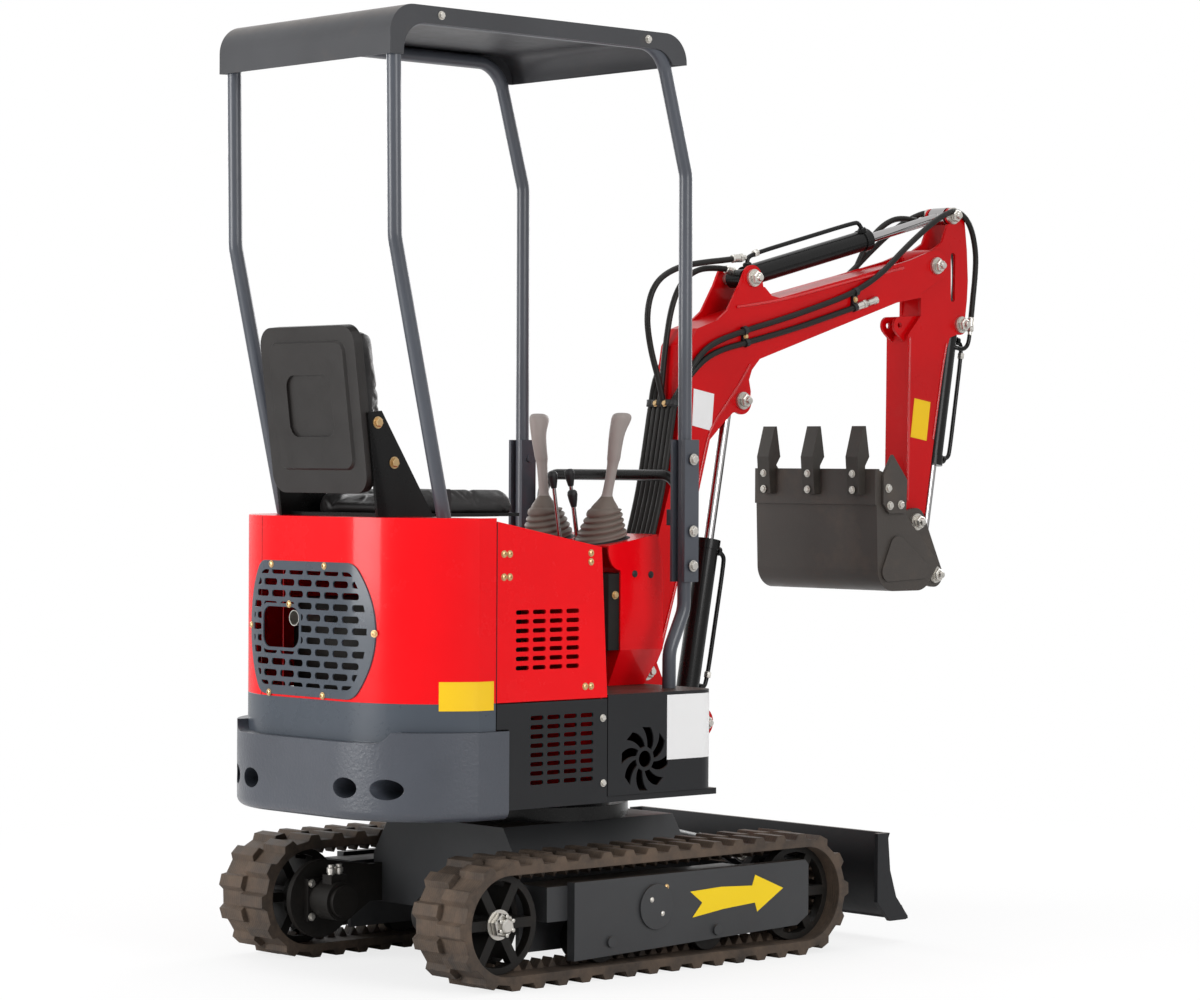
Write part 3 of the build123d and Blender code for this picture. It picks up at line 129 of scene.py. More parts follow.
# Shapes that follow the part's own sizes
BODY_HALF = 410.0
POST_FACE = 338.0
CANOPY_FACE = 328.0
BRACKET_FACE = 189.0
CONSOLE_FACE = 200.0
CONSOLE_TOP = 1025.0
BACK_FOOT = (-692.0, 1155.0)
BACK_LEAN = Vector((-50, 0, 394)).normalized()
BOOM_HALF = 53.0
DIPPER_HALF = 40.0
CUTTER_FACE = 235.0
LIP_X = 964.0
TRACK_FACE = 452.0
HUB = (-492.5, 152.0)
HUB_FACE = 422.0
MOTOR_FACE = 231.0
MOTOR_PORT = (192.0, 216.0)

# Rounded tails in plan: rear, half of the flat, end of the corner, half width
HOOD_PLAN = (-735.0, 120.0, -545.0, BODY_HALF)
GRILLE_PLAN = (-739.0, 120.0, -545.0, BODY_HALF + 4)

# Rounded corner of the front box in plan: centre and radius
BOX_CORNER = (177.0, -355.0, 55.0)

# Pins as (x, z), and where each body's pins end across
BOOM_FOOT = pivot("boom_swing")
BOOM_BASE = pivot("boom_barrel_swing")
BOOM_EYE = (662, 1395)
ELBOW = pivot("arm_swing")
ARM_BASE = pivot("arm_barrel_swing")
ARM_EYE = (1491, 1921)
BUCKET_PIVOT = pivot("bucket_swing")
BUCKET_BASE = pivot("bucket_barrel_swing")
BUCKET_EYE = (1408, 927)
BLADE_EYE = (690, 210)
PIN_END = {"boom": 61, "upper": 82, "arm": 48, "bucket": 65, "blade": 43}
PIN_NUT = 16

# Hoses and pipes
HOSE_R = 8.0
HOSE_Y = BOOM_HALF + HOSE_R + 1
FOOT_HOSE_R = 8.8
PIPE_R = 6
WELD_R = 4.0
BOOM_SLOPE = (1, 0, 0.27)
FOOT_LANES = (-43, -26, -9, 9, 26, 43)

# Labels and seams
LABEL_DEPTH = 0.8
SEAM_DEPTH = 0.3

# Joysticks and levers
STICK_X = 118
STICK_Y = 102
STICK_Z = CONSOLE_TOP + 12
STICK_SIDES = 28
PLEATS = 5
PLEAT_STEP = 14.5
PLEAT_TAPER = 5.2
PLEAT_TOP = 75
BOOT_TILT = 0.22
GRIP_START = 110
LEVER_SLOPE = 0.163
LEVER_AXIS = (-0.16, 0, 0.987)

# Seat pads
PAD_COLUMNS = 24
PAD_ROWS = 26
CORNER_START = 1.72
CORNER_DRAW = 0.22
ROLL_START = 0.58
ROLL_WIDTH = 0.42
EDGE_RISE = 9
CHANNEL_HALF = 7
PAD_VOXEL = 0.0055
CLOTH_STEPS = 20
CLOTH_CAP = 0.012


# Materials

def shader(name):
    """New node material with its Principled shader."""
    material = bpy.data.materials.new(name)
    material.use_nodes = True
    return material, material.node_tree.nodes, material.node_tree.links


def noise(tree_nodes, links, scale, detail=4.0, roughness=0.55):
    """Noise texture in the piece's own coordinates."""
    coordinates = tree_nodes.new("ShaderNodeTexCoord")
    texture = tree_nodes.new("ShaderNodeTexNoise")
    texture.inputs["Scale"].default_value = scale
    texture.inputs["Detail"].default_value = detail
    texture.inputs["Roughness"].default_value = roughness
    links.new(coordinates.outputs["Object"], texture.inputs["Vector"])
    return texture.outputs["Fac"]


def ramp(tree_nodes, links, value, low, high, start=0.0, end=1.0):
    """Value between two limits, stretched to a range."""
    node = tree_nodes.new("ShaderNodeMapRange")
    node.inputs["From Min"].default_value = low
    node.inputs["From Max"].default_value = high
    node.inputs["To Min"].default_value = start
    node.inputs["To Max"].default_value = end
    links.new(value, node.inputs["Value"])
    return node.outputs["Result"]


def mix(tree_nodes, links, factor, first, second):
    """Colour mix of two colours or sockets."""
    node = tree_nodes.new("ShaderNodeMix")
    node.data_type = "RGBA"
    links.new(factor, node.inputs["Factor"])
    for socket, value in ((node.inputs[6], first), (node.inputs[7], second)):
        if isinstance(value, tuple):
            socket.default_value = (*value, 1)
        else:
            links.new(value, socket)
    return node.outputs[2]


def times(tree_nodes, links, first, second):
    """Product of a socket and a number or another socket."""
    node = tree_nodes.new("ShaderNodeMath")
    node.operation = "MULTIPLY"
    links.new(first, node.inputs[0])
    if isinstance(second, float):
        node.inputs[1].default_value = second
    else:
        links.new(second, node.inputs[1])
    return node.outputs[0]


def upward(tree_nodes, links):
    """1 where the surface faces up, 0 on walls."""
    geometry = tree_nodes.new("ShaderNodeNewGeometry")
    parts = tree_nodes.new("ShaderNodeSeparateXYZ")
    links.new(geometry.outputs["Normal"], parts.inputs[0])
    return ramp(tree_nodes, links, parts.outputs["Z"], 0.55, 0.95)


def surface(tree_nodes, links, grain, bump, bevel, ribs):
    """Normal with soft edges, fine grain and, if asked, moulded ribs."""
    edge = tree_nodes.new("ShaderNodeBevel")
    edge.samples = 4
    edge.inputs["Radius"].default_value = bevel
    bumped = tree_nodes.new("ShaderNodeBump")
    bumped.inputs["Strength"].default_value = bump
    bumped.inputs["Distance"].default_value = 0.001
    links.new(noise(tree_nodes, links, grain, 3.0), bumped.inputs["Height"])
    links.new(edge.outputs["Normal"], bumped.inputs["Normal"])
    if ribs == 0:
        return bumped.outputs["Normal"]
    coordinates = tree_nodes.new("ShaderNodeTexCoord")
    wave = tree_nodes.new("ShaderNodeTexWave")
    wave.bands_direction = "Y"
    wave.inputs["Scale"].default_value = ribs
    wave.inputs["Distortion"].default_value = 0.6
    links.new(coordinates.outputs["Object"], wave.inputs["Vector"])
    ribbed = tree_nodes.new("ShaderNodeBump")
    ribbed.inputs["Strength"].default_value = 0.35
    ribbed.inputs["Distance"].default_value = 0.0012
    links.new(wave.outputs["Fac"], ribbed.inputs["Height"])
    links.new(bumped.outputs["Normal"], ribbed.inputs["Normal"])
    return ribbed.outputs["Normal"]


def finish_material(name, colour, roughness, metallic=0.0, coat=0.0, soil=0.0, soil_colour=DUST,
                    bump=0.15, grain=260.0, bevel=0.0015, variation=0.12, specular=0.3,
                    settled=0.0, ribs=0.0):
    """Paint, metal or plastic with uneven tone, soil in patches, fine grain and soft edges.

    settled is dust on what faces up, ribs a moulded rib pattern."""
    material, tree_nodes, links = shader(name)
    principled = tree_nodes["Principled BSDF"]
    broad = noise(tree_nodes, links, BROAD_SCALE, 5.0)
    patches = noise(tree_nodes, links, PATCH_SCALE, 8.0, 0.7)
    darker = tuple(c * (1 - variation) for c in colour)
    lighter = tuple(min(1.0, c * (1 + variation)) for c in colour)
    tone = mix(tree_nodes, links, ramp(tree_nodes, links, broad, 0.3, 0.7), darker, lighter)
    if soil > 0:
        amount = ramp(tree_nodes, links, patches, 0.62 - soil * 0.35, 0.80 - soil * 0.10)
        share = times(tree_nodes, links, amount, min(1.0, soil * 1.4))
        tone = mix(tree_nodes, links, share, tone, soil_colour)
    if settled > 0:
        grit = noise(tree_nodes, links, GRIT_SCALE, 9.0, 0.75)
        spread = ramp(tree_nodes, links, grit, 0.32, 0.60, 0.25, 1.0)
        lying = times(tree_nodes, links, upward(tree_nodes, links), spread)
        tone = mix(tree_nodes, links, times(tree_nodes, links, lying, settled), tone, soil_colour)
    rough = ramp(tree_nodes, links, patches, 0.3, 0.7, roughness * 0.85, min(1.0, roughness * 1.25))
    links.new(tone, principled.inputs["Base Color"])
    links.new(rough, principled.inputs["Roughness"])
    links.new(surface(tree_nodes, links, grain, bump, bevel, ribs), principled.inputs["Normal"])
    principled.inputs["Metallic"].default_value = metallic
    principled.inputs["Specular IOR Level"].default_value = specular
    principled.inputs["Coat Weight"].default_value = coat
    principled.inputs["Coat Roughness"].default_value = 0.08
    return material


def make_paints():
    """Painted finishes by name."""
    return {
        "red": finish_material("red_paint", RED, 0.24, coat=0.20, bump=0.04, grain=120, variation=0.04,
                               specular=0.15),
        "boom_red": finish_material("boom_red", BOOM_RED, 0.30, coat=0.12, soil=0.05, bump=0.10,
                                    grain=140, variation=0.10, specular=0.12),
        "weld": finish_material("weld_bead", BOOM_RED, 0.22, coat=0.6, bump=1.0, grain=190,
                                variation=0.15),
        "cast": finish_material("cast_paint", CAST_GREY, 0.33, coat=0.05, soil=0.04, bump=1.0,
                                grain=120, specular=0.45),
        "band": finish_material("band_paint", BAND_GREY, 0.28, coat=0.25, bump=0.06, grain=160,
                                variation=0.06),
        "tube": finish_material("tube_paint", TUBE_GREY, 0.32, coat=0.2, soil=0.05, bump=0.06),
        "canopy": finish_material("canopy_paint", CANOPY_GREY, 0.38, coat=0.1, soil=0.15, bump=0.10,
                                  settled=0.4),
        "grey": finish_material("grey_paint", STEEL_GREY, 0.44, soil=0.12, bump=0.12, settled=0.9,
                                soil_colour=FRAME_DUST),
        "dark": finish_material("dark_paint", DARK_GREY, 0.40, soil=0.04, bump=0.10, settled=0.5,
                                specular=0.2),
        "hull": finish_material("hull_paint", DARK_GREY, 0.40, soil=0.03, bump=0.10, settled=1.0,
                                soil_colour=RUST_DUST, specular=0.2),
        "black": finish_material("black_paint", BLACK, 0.26, coat=0.12, soil=0.02, bump=0.05,
                                 specular=0.15),
        "pan": finish_material("pan_paint", PAN_BLACK, 0.38, coat=0.1, bump=0.25, grain=320),
        "oily": finish_material("oily_black", OILY_BLACK, 0.5, soil=0.22, bump=0.3, specular=0.2,
                                soil_colour=OILY_DUST),
        "bucket": finish_material("bucket_paint", BUCKET_GREY, 0.44, soil=0.30, bump=0.25,
                                  soil_colour=BUCKET_DUST),
        "yellow": finish_material("yellow_paint", YELLOW, 0.40, bump=0.03, variation=0.03, soil=0.02),
        "label": finish_material("yellow_label", LABEL_YELLOW, 0.40, bump=0.03, variation=0.03),
        "white": finish_material("white_plate", WHITE, 0.35, bump=0.02, variation=0.02),
        "seam": finish_material("panel_seam", SEAM_RED, 0.6, bump=0.05),
    }


def make_bare_finishes():
    """Plastic, rubber, vinyl and bare metal by name."""
    return {
        "plastic": finish_material("black_plastic", PLASTIC_BLACK, 0.45, bump=0.25, grain=700),
        "hose": finish_material("hose_rubber", HOSE_BLACK, 0.40, bump=0.3, grain=900, soil=0.10,
                                specular=0.2, soil_colour=HOSE_DUST),
        "rubber": finish_material("track_rubber", RUBBER, 0.66, soil=0.72, bump=0.6, grain=240,
                                  bevel=0.004, variation=0.35, soil_colour=TRACK_DUST, ribs=40.0),
        "zinc": finish_material("zinc", ZINC, 0.30, metallic=0.9, soil=0.06, bump=0.10, bevel=0.0006),
        "brass": finish_material("brass_zinc", BRASS, 0.30, metallic=0.85, bump=0.08, bevel=0.0005),
        "chrome": finish_material("chrome", CHROME, 0.14, metallic=1.0, bump=0.01, variation=0.03),
        "boot": finish_material("lever_boot", BOOT_GREY, 0.52, bump=0.20, grain=520),
        "grip": finish_material("lever_grip", GRIP_GREY, 0.48, bump=0.15, grain=520),
        "vinyl": finish_material("seat_vinyl", VINYL_BLACK, 0.34, bump=0.55, grain=420, variation=0.15),
        "tooth": finish_material("tooth_steel", TOOTH_GREY, 0.44, soil=0.25, bump=0.3,
                                 soil_colour=TOOTH_DUST),
    }


def paint_nodes(materials):
    """Give every CAD node that stays its material."""
    paint = {
        "red": ("hood", "side_panel_right", "side_panel_left", "console", "seat_base"),
        "boom_red": ("boom", "dipper", "boom_bracket"),
        "cast": ("counterweight",),
        "band": ("rear_skirt", "rear_grille"),
        "tube": ("rops_right", "rops_left", "post_brackets"),
        "canopy": ("canopy",),
        "grey": ("track_frames", "centre_frame"),
        "hull": ("front_box",),
        "dark": ("skirt_right", "skirt_left", "deck_plate", "blade"),
        "oily": ("travel_motors", "drive_wheels", "idler_wheels", "rollers", "engine", "valve_block"),
        "bucket": ("bucket", "side_cutters"),
        "tooth": ("bucket_teeth",),
        "black": ("boom_cylinder_barrel", "arm_cylinder_barrel", "bucket_cylinder_barrel",
                  "blade_cylinder_barrel", "seat_brackets", "hoop", "slew_ring_lower", "slew_ring_upper"),
        "pan": ("seat_back_pan",),
        "rubber": ("track_right", "track_left"),
        "zinc": ("boom_pins", "dipper_pins", "bucket_pins", "blade_pins", "upper_pins",
                 "undercarriage_pins", "exhaust_pipe"),
        "chrome": ("boom_cylinder_rod", "arm_cylinder_rod", "bucket_cylinder_rod", "blade_cylinder_rod"),
    }
    for finish, names in paint.items():
        for name in names:
            node = nodes[name]
            node.data.materials.clear()
            node.data.materials.append(materials[finish])


# Mesh helpers

def add(name, mesh, material, body=None, smooth=35.0):
    """Link a mesh made in machine millimetres as a piece that rides on a body."""
    if isinstance(mesh, bmesh.types.BMesh):
        mesh.transform(TO_METRES)
        bmesh.ops.recalc_face_normals(mesh, faces=mesh.faces)
        data = bpy.data.meshes.new(name)
        mesh.to_mesh(data)
        mesh.free()
        mesh = data
    mesh.shade_smooth()
    if smooth:
        mesh.set_sharp_from_angle(angle=radians(smooth))
    piece = bpy.data.objects.new(name, mesh)
    scene.collection.objects.link(piece)
    mesh.materials.clear()
    mesh.materials.append(material)
    if body:
        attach(piece, body)
    return piece


def lathe(mesh, centre, axis, profile, segments=18):
    """Revolve (radius, height) pairs about an axis through the centre, capped at both ends."""
    axis = Vector(axis).normalized()
    across = axis.orthogonal().normalized()
    third = axis.cross(across)
    rings = []
    for r, h in profile:
        middle = Vector(centre) + axis * h
        if r == 0:
            rings.append([mesh.verts.new(middle)])
            continue
        angles = [2 * pi * k / segments for k in range(segments)]
        rings.append([mesh.verts.new(middle + (across * cos(a) + third * sin(a)) * r) for a in angles])
    for ring in (rings[0], rings[-1]):
        if len(ring) > 1:
            mesh.faces.new(ring)
    for low, high in zip(rings, rings[1:]):
        for k in range(segments):
            after = (k + 1) % segments
            start = [low[k], low[after]] if len(low) > 1 else [low[0]]
            end = [high[after], high[k]] if len(high) > 1 else [high[0]]
            mesh.faces.new(start + end)


def slab(mesh, corners, depth):
    """Flat plate between an outline and the same outline moved by depth."""
    near = [mesh.verts.new(Vector(corner)) for corner in corners]
    far = [mesh.verts.new(Vector(corner) + Vector(depth)) for corner in corners]
    mesh.faces.new(near)
    mesh.faces.new(far[::-1])
    for k in range(len(near)):
        after = (k + 1) % len(near)
        mesh.faces.new((near[k], far[k], far[after], near[after]))


def rounded(u0, u1, v0, v1, r, steps=5):
    """Corner points of a rounded rectangle in two dimensions."""
    centres = ((u1 - r, v0 + r), (u1 - r, v1 - r), (u0 + r, v1 - r), (u0 + r, v0 + r))
    points = []
    for (cu, cv), turn in zip(centres, (-90, 0, 90, 180)):
        for k in range(steps + 1):
            a = radians(turn + 90 * k / steps)
            points.append((cu + r * cos(a), cv + r * sin(a)))
    return points


def wrap(mesh, line, z0, z1, thickness):
    """Thin sheet standing on an upright wall along (x, y, normal x, normal y) points."""
    layers = []
    for out in (0.0, thickness):
        for z in (z0, z1):
            layers.append([mesh.verts.new((x + nx * out, y + ny * out, z)) for x, y, nx, ny in line])
    a, b, c, d = layers
    for k in range(len(line) - 1):
        for low, high in ((a, b), (d, c), (c, a), (b, d)):
            mesh.faces.new((low[k], low[k + 1], high[k + 1], high[k]))
    for k in (0, len(line) - 1):
        mesh.faces.new((a[k], b[k], d[k], c[k]))


def tail(plan, y):
    """Point and outward normal on the rounded tail's plan outline at y."""
    rear, flat, corner, half = plan
    depth, reach = corner - rear, half - flat
    r = (depth * depth + reach * reach) / (2 * depth)
    over = max(0.0, abs(y) - flat)
    x = rear + r - sqrt(r * r - over * over)
    angle = asin(over / r)
    return x, y, -cos(angle), sin(angle) * (1 if y > 0 else -1)


def tube_mesh(name, points, r, turns=10):
    """Mesh of a smooth round hose or pipe whose line follows the points."""
    curve = bpy.data.curves.new(name, "CURVE")
    curve.dimensions = "3D"
    curve.bevel_depth = r * MM
    curve.bevel_resolution = 4
    curve.resolution_u = turns
    curve.use_fill_caps = True
    spline = curve.splines.new("NURBS")
    spline.points.add(len(points) - 1)
    for point, place in zip(spline.points, points):
        point.co = (*(TO_METRES @ Vector(place)), 1)
    spline.order_u = 3
    spline.use_endpoint_u = True
    line = bpy.data.objects.new(name, curve)
    scene.collection.objects.link(line)
    mesh = bpy.data.meshes.new_from_object(line)
    bpy.data.objects.remove(line)
    mesh.name = name
    return mesh


def hose(name, points, material, body, r=HOSE_R):
    """Hose that rides on one body."""
    return add(name, tube_mesh(name, points, r), material, body)


def bent_hose(name, points, material, r=HOSE_R):
    """Hose that crosses the joint between two bodies."""
    piece = add(name, tube_mesh(name, points, r, 16), material)
    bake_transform(piece)
    return piece


def both(points):
    """Each (x, z) point on the right side and on the left."""
    return [(x, z, sign) for x, z in points for sign in (-1, 1)]


def mirrored(points, sign):
    """Points given for the left side, on the side of the sign."""
    return [(x, sign * y, z) for x, y, z in points]


class Fittings:
    """Small hardware gathered into one mesh for each body and finish."""

    def __init__(self):
        self.meshes = {}

    def mesh(self, body, finish):
        """The mesh of one body and finish, new at its first use."""
        if (body, finish) not in self.meshes:
            self.meshes[body, finish] = bmesh.new()
        return self.meshes[body, finish]

    def hex_bolt(self, body, finish, centre, axis, size):
        """Hexagon head with a chamfered top on a washer."""
        target = self.mesh(body, finish)
        lathe(target, centre, axis, [(size * 1.3, 0), (size * 1.3, size * 0.16)], 20)
        head = [(size, size * 0.16), (size, size * 0.72), (size * 0.84, size * 0.86)]
        lathe(target, centre, axis, head, 6)

    def button(self, body, finish, centre, axis, size):
        """Round head with a socket in it."""
        rim = [(size * 1.25, 0), (size * 1.25, size * 0.14), (size, size * 0.14)]
        dome = [(size * 0.96, size * 0.42), (size * 0.72, size * 0.62), (size * 0.42, size * 0.66)]
        socket = [(size * 0.36, size * 0.30), (0, size * 0.30)]
        lathe(self.mesh(body, finish), centre, axis, rim + dome + socket)

    def nut(self, body, centre, axis, size):
        """Pin nut with its washer and the pin's threaded end."""
        target = self.mesh(body, "zinc")
        lathe(target, centre, axis, [(size * 1.35, 0), (size * 1.35, 3)], 24)
        lathe(target, centre, axis, [(size, 3), (size * 1.08, 5), (size * 1.08, 14), (size * 0.9, 17)], 6)
        thread = [(size * 0.62, 17), (size * 0.62, 22), (size * 0.5, 25), (0, 25.5)]
        lathe(target, centre, axis, thread, 16)

    def crimp(self, body, place, along, r=HOSE_R):
        """Hose end: crimped sleeve, swivel nut and a short pipe stub."""
        target = self.mesh(body, "zinc")
        sleeve = [(r + 1.5, 0), (r + 3, 2), (r + 2, 8), (r + 3, 11), (r + 2, 17), (r + 3, 20),
                  (r + 2.5, 26), (r - 1, 28)]
        lathe(target, place, along, sleeve)
        lathe(target, place, along, [(r + 3.5, 28), (r + 4, 30), (r + 4, 38), (r + 3, 40)], 6)
        lathe(target, place, along, [(r - 1, 40), (r - 1, 50)])

    def clip(self, body, centre, along, r=HOSE_R, width=14):
        """Rubber lined clip round a hose."""
        start = Vector(centre) - Vector(along).normalized() * width / 2
        band = [(r + 0.5, 0), (r + 3.5, 1), (r + 3.5, width - 1), (r + 0.5, width)]
        lathe(self.mesh(body, "plastic"), start, along, band)

    def place(self, materials):
        """Add every mesh as a piece on its body."""
        for (body, finish), mesh in self.meshes.items():
            add(f"{body}_{finish}_fittings", mesh, materials[finish], body)


# Fasteners

def fasten_panels(fittings):
    """Buttons and bolts of the side panels, and buttons round the rear grille."""
    panel = ((-470, 1016), (-452, 1016), (-470, 962), (-452, 962), (-195, 1015), (-195, 994),
             (-212, 697), (-193, 697))
    for x, z, sign in both(panel):
        fittings.button("upper", "brass", (x, sign * BODY_HALF, z), (0, sign, 0), 7)
    for x, z, sign in both(((-154, 619), (-152, 463))):
        fittings.hex_bolt("upper", "zinc", (x, sign * BODY_HALF, z), (0, sign, 0), 7)
    grille = ((130, 984), (-74, 984), (234, 834), (-236, 830), (138, 676), (-70, 678), (60, 890))
    for y, z in grille:
        x, y, nx, ny = tail(GRILLE_PLAN, y)
        fittings.button("upper", "brass", (x, y, z), (nx, ny, 0), 7)


def fasten_posts(fittings):
    """Bolts through the sleeves of the canopy's front posts."""
    for x, z, sign in both(((213, 976), (213, 1062), (213, 1240))):
        fittings.hex_bolt("upper", "zinc", (x, sign * POST_FACE, z), (0, sign, 0), 11)


def fasten_seat(fittings):
    """Bolts of the seat's brackets and buttons on its back pan."""
    for x, z, sign in both(((-672, 1322), (-622, 1228))):
        fittings.hex_bolt("upper", "brass", (x, sign * BRACKET_FACE, z), (0, sign, 0), 11)
    outward = Vector((-BACK_LEAN.z, 0, BACK_LEAN.x))
    for z in (1222, 1453):
        for y in (-112, 108):
            x = BACK_FOOT[0] + (z - BACK_FOOT[1]) * BACK_LEAN.x / BACK_LEAN.z
            fittings.button("upper", "brass", (x, y, z), outward, 6)


def fasten_console(fittings):
    """Plugs in the console's sides and the bolt beside its opening."""
    plug = [(9, 0), (9, 1), (6, 3), (0, 3.5)]
    for x, z, sign in both(((144, 954), (199, 951))):
        lathe(fittings.mesh("upper", "plastic"), (x, sign * CONSOLE_FACE, z), (0, sign, 0), plug)
    fittings.hex_bolt("upper", "brass", (82, -195, 902), (0, -1, 0), 8)


def fasten_canopy(fittings):
    """Bolts of the canopy's side flanges."""
    for x, z, sign in both(((-600, 2268), (60, 2268))):
        fittings.hex_bolt("upper", "zinc", (x, sign * CANOPY_FACE, z), (0, sign, 0), 8)


def fasten_pins(fittings):
    """Nuts on both ends of every pin."""
    pins = (("boom", ARM_BASE), ("boom", ELBOW), ("boom", BOOM_EYE), ("upper", BOOM_FOOT),
            ("upper", BOOM_BASE), ("arm", ARM_EYE), ("arm", BUCKET_BASE), ("bucket", BUCKET_PIVOT),
            ("bucket", BUCKET_EYE), ("blade", BLADE_EYE))
    for body, (x, z) in pins:
        for sign in (-1, 1):
            fittings.nut(body, (x, sign * PIN_END[body], z), (0, sign, 0), PIN_NUT)


def fasten_bucket(fittings):
    """Bolts of the side cutters and of the teeth."""
    for x, z, sign in both(((1030, 1167), (1037, 1121), (1079, 1123))):
        fittings.hex_bolt("bucket", "zinc", (x, sign * CUTTER_FACE, z), (0, sign, 0), 9)
    for y in (-166, 0, 166):
        for z in (1205, 1162):
            fittings.hex_bolt("bucket", "zinc", (LIP_X, y, z), (-1, 0, 0), 8)


def fasten_covers(fittings):
    """Screws of the track frames' round lids and of their cover plates."""
    for x, z, sign in both(((-34, 178), (2, 142))):
        fittings.button("undercarriage", "zinc", (x, sign * (TRACK_FACE + 6), z), (0, sign, 0), 5)
    for x, z, sign in both(((20, 204),)):
        fittings.button("undercarriage", "brass", (x, sign * TRACK_FACE, z), (0, sign, 0), 6)


def fasten_hubs(fittings):
    """Castle nuts of the drive wheels, and the motors' bolts and ports."""
    hub = fittings.mesh("undercarriage", "zinc")
    for sign in (-1, 1):
        centre, outward = (HUB[0], sign * HUB_FACE, HUB[1]), (0, sign, 0)
        lathe(hub, centre, outward, [(36, 0), (36, 4)], 28)
        lathe(hub, centre, outward, [(27, 4), (30, 6), (30, 22), (27, 25)], 6)
        lathe(hub, centre, outward, [(17, 25), (17, 34), (14, 37), (0, 37)], 20)
        for k in range(6):
            a = radians(60 * k + 30)
            tab = (HUB[0] + 22 * cos(a), sign * (HUB_FACE + 25), HUB[1] + 22 * sin(a))
            lathe(hub, tab, outward, [(5, 0), (5, 8), (3, 9)], 8)
        for k in range(4):
            a = radians(45 + 90 * k)
            place = (HUB[0] + 58 * cos(a), sign * MOTOR_FACE, HUB[1] + 58 * sin(a))
            fittings.hex_bolt("undercarriage", "zinc", place, (0, -sign, 0), 8)
        for dx in (-12, 12):
            port = (HUB[0] + dx, sign * MOTOR_PORT[0], MOTOR_PORT[1])
            lathe(hub, port, (0, 0, 1), [(9, 0), (9, 6), (11, 6), (11, 16), (8, 18), (8, 24)], 12)


def make_fasteners(fittings):
    """Bolts, nuts and plugs."""
    fasten_panels(fittings)
    fasten_posts(fittings)
    fasten_seat(fittings)
    fasten_console(fittings)
    fasten_canopy(fittings)
    fasten_pins(fittings)
    fasten_bucket(fittings)
    fasten_covers(fittings)
    fasten_hubs(fittings)


# Hoses and pipes

def make_bucket_lines(fittings, materials, sign, side):
    """Hose from the boom's foot over the elbow to the bucket cylinder, and its pipe."""
    over_elbow = [(424, 43, 1368), (438, 52, 1428), (482, HOSE_Y, 1494), (540, HOSE_Y, 1542),
                  (660, HOSE_Y, 1578), (800, HOSE_Y, 1612), (930, HOSE_Y, 1648), (1075, HOSE_Y, 1692),
                  (1180, HOSE_Y, 1745), (1265, HOSE_Y, 1812), (1350, HOSE_Y, 1872), (1425, 58, 1915),
                  (1500, 50, 1940), (1560, 46, 1905), (1575, 44, 1867.5)]
    down = [(1575, 44, 1867.5), (1590, 42, 1830), (1592, 38, 1760), (1584, 36, 1690), (1580, 34, 1640)]
    pipe = [(1574, 34, 1594), (1572, 34, 1580), (1566, 33, 1562), (1550, 31, 1552), (1530, 26, 1556),
            (1520, 16, 1560)]
    bent_hose(f"bucket_hose_{side}", mirrored(over_elbow, sign), materials["hose"])
    bent_hose(f"bucket_hose_end_{side}", mirrored(down, sign), materials["hose"])
    fittings.crimp("bucket_barrel", (1580, sign * 34, 1642), (-0.12, 0, -1), 7)
    hose(f"bucket_pipe_{side}", mirrored(pipe, sign), materials["black"], "bucket_barrel", PIPE_R)


def make_spare_lines(fittings, materials, sign, side):
    """Hose along the boom to the closed port for a thumb, with the clips of both hoses."""
    points = [(424, 26, 1368), (440, 42, 1415), (478, 59, 1468), (520, HOSE_Y, 1503), (580, HOSE_Y, 1528),
              (672, HOSE_Y, 1548), (840, HOSE_Y, 1587), (968, HOSE_Y, 1622), (1085, HOSE_Y, 1655)]
    y = sign * HOSE_Y
    hose(f"thumb_hose_{side}", mirrored(points, sign), materials["hose"], "boom")
    fittings.crimp("boom", (1083, y, 1654), BOOM_SLOPE)
    port = [(9, 0), (9, 24), (11, 26), (11, 34), (8, 36), (0, 36)]
    lathe(fittings.mesh("boom", "zinc"), (1130, y, 1667), BOOM_SLOPE, port)
    clips = (((662, 1579), (668, 1547), BOOM_SLOPE), ((1082, 1695), (1078, 1653), (1, 0, 0.33)))
    for upper, lower, along in clips:
        for x, z in (upper, lower):
            fittings.clip("boom", (x, y, z), along)
        x, z = (upper[0] + lower[0]) / 2, (upper[1] + lower[1]) / 2
        corners = [(x + du, sign * BOOM_HALF, z + dv) for du, dv in rounded(-9, 9, -18, 18, 4)]
        slab(fittings.mesh("boom", "plastic"), corners, (0, sign * 10, 0))
        fittings.hex_bolt("boom", "brass", (x, sign * (BOOM_HALF + 10), z), (0, sign, 0), 6)


def make_foot_hoses(fittings, materials):
    """Six hoses from the upper structure up the boom's back, held by two bars of clips."""
    for k, y in enumerate(FOOT_LANES):
        low = y * 1.5 + 6 * sin(5 * k)
        points = [(196, low, 720), (214, low, 780), (250, low * 0.9, 840), (292, y, 910), (330, y, 985),
                  (358, y, 1070), (384, y, 1160), (400, y, 1240), (413, y, 1310), (424, y, 1370)]
        bent_hose(f"foot_hose_{k}", points, materials["hose"],
                  FOOT_HOSE_R)
    for z, x in ((1040, 352), (1385, 426)):
        for y in FOOT_LANES:
            fittings.clip("boom", (x, y, z), (0.2, 0, 1))
        plate = [(x - 4, -52, z - 9), (x - 4, 52, z - 9), (x - 2, 52, z + 9), (x - 2, -52, z + 9)]
        slab(fittings.mesh("boom", "plastic"), plate, (-5, 0, 1))
        for y in (-17, 17):
            fittings.hex_bolt("boom", "brass", (x - 8, y, z), (-1, 0, 0.2), 7)


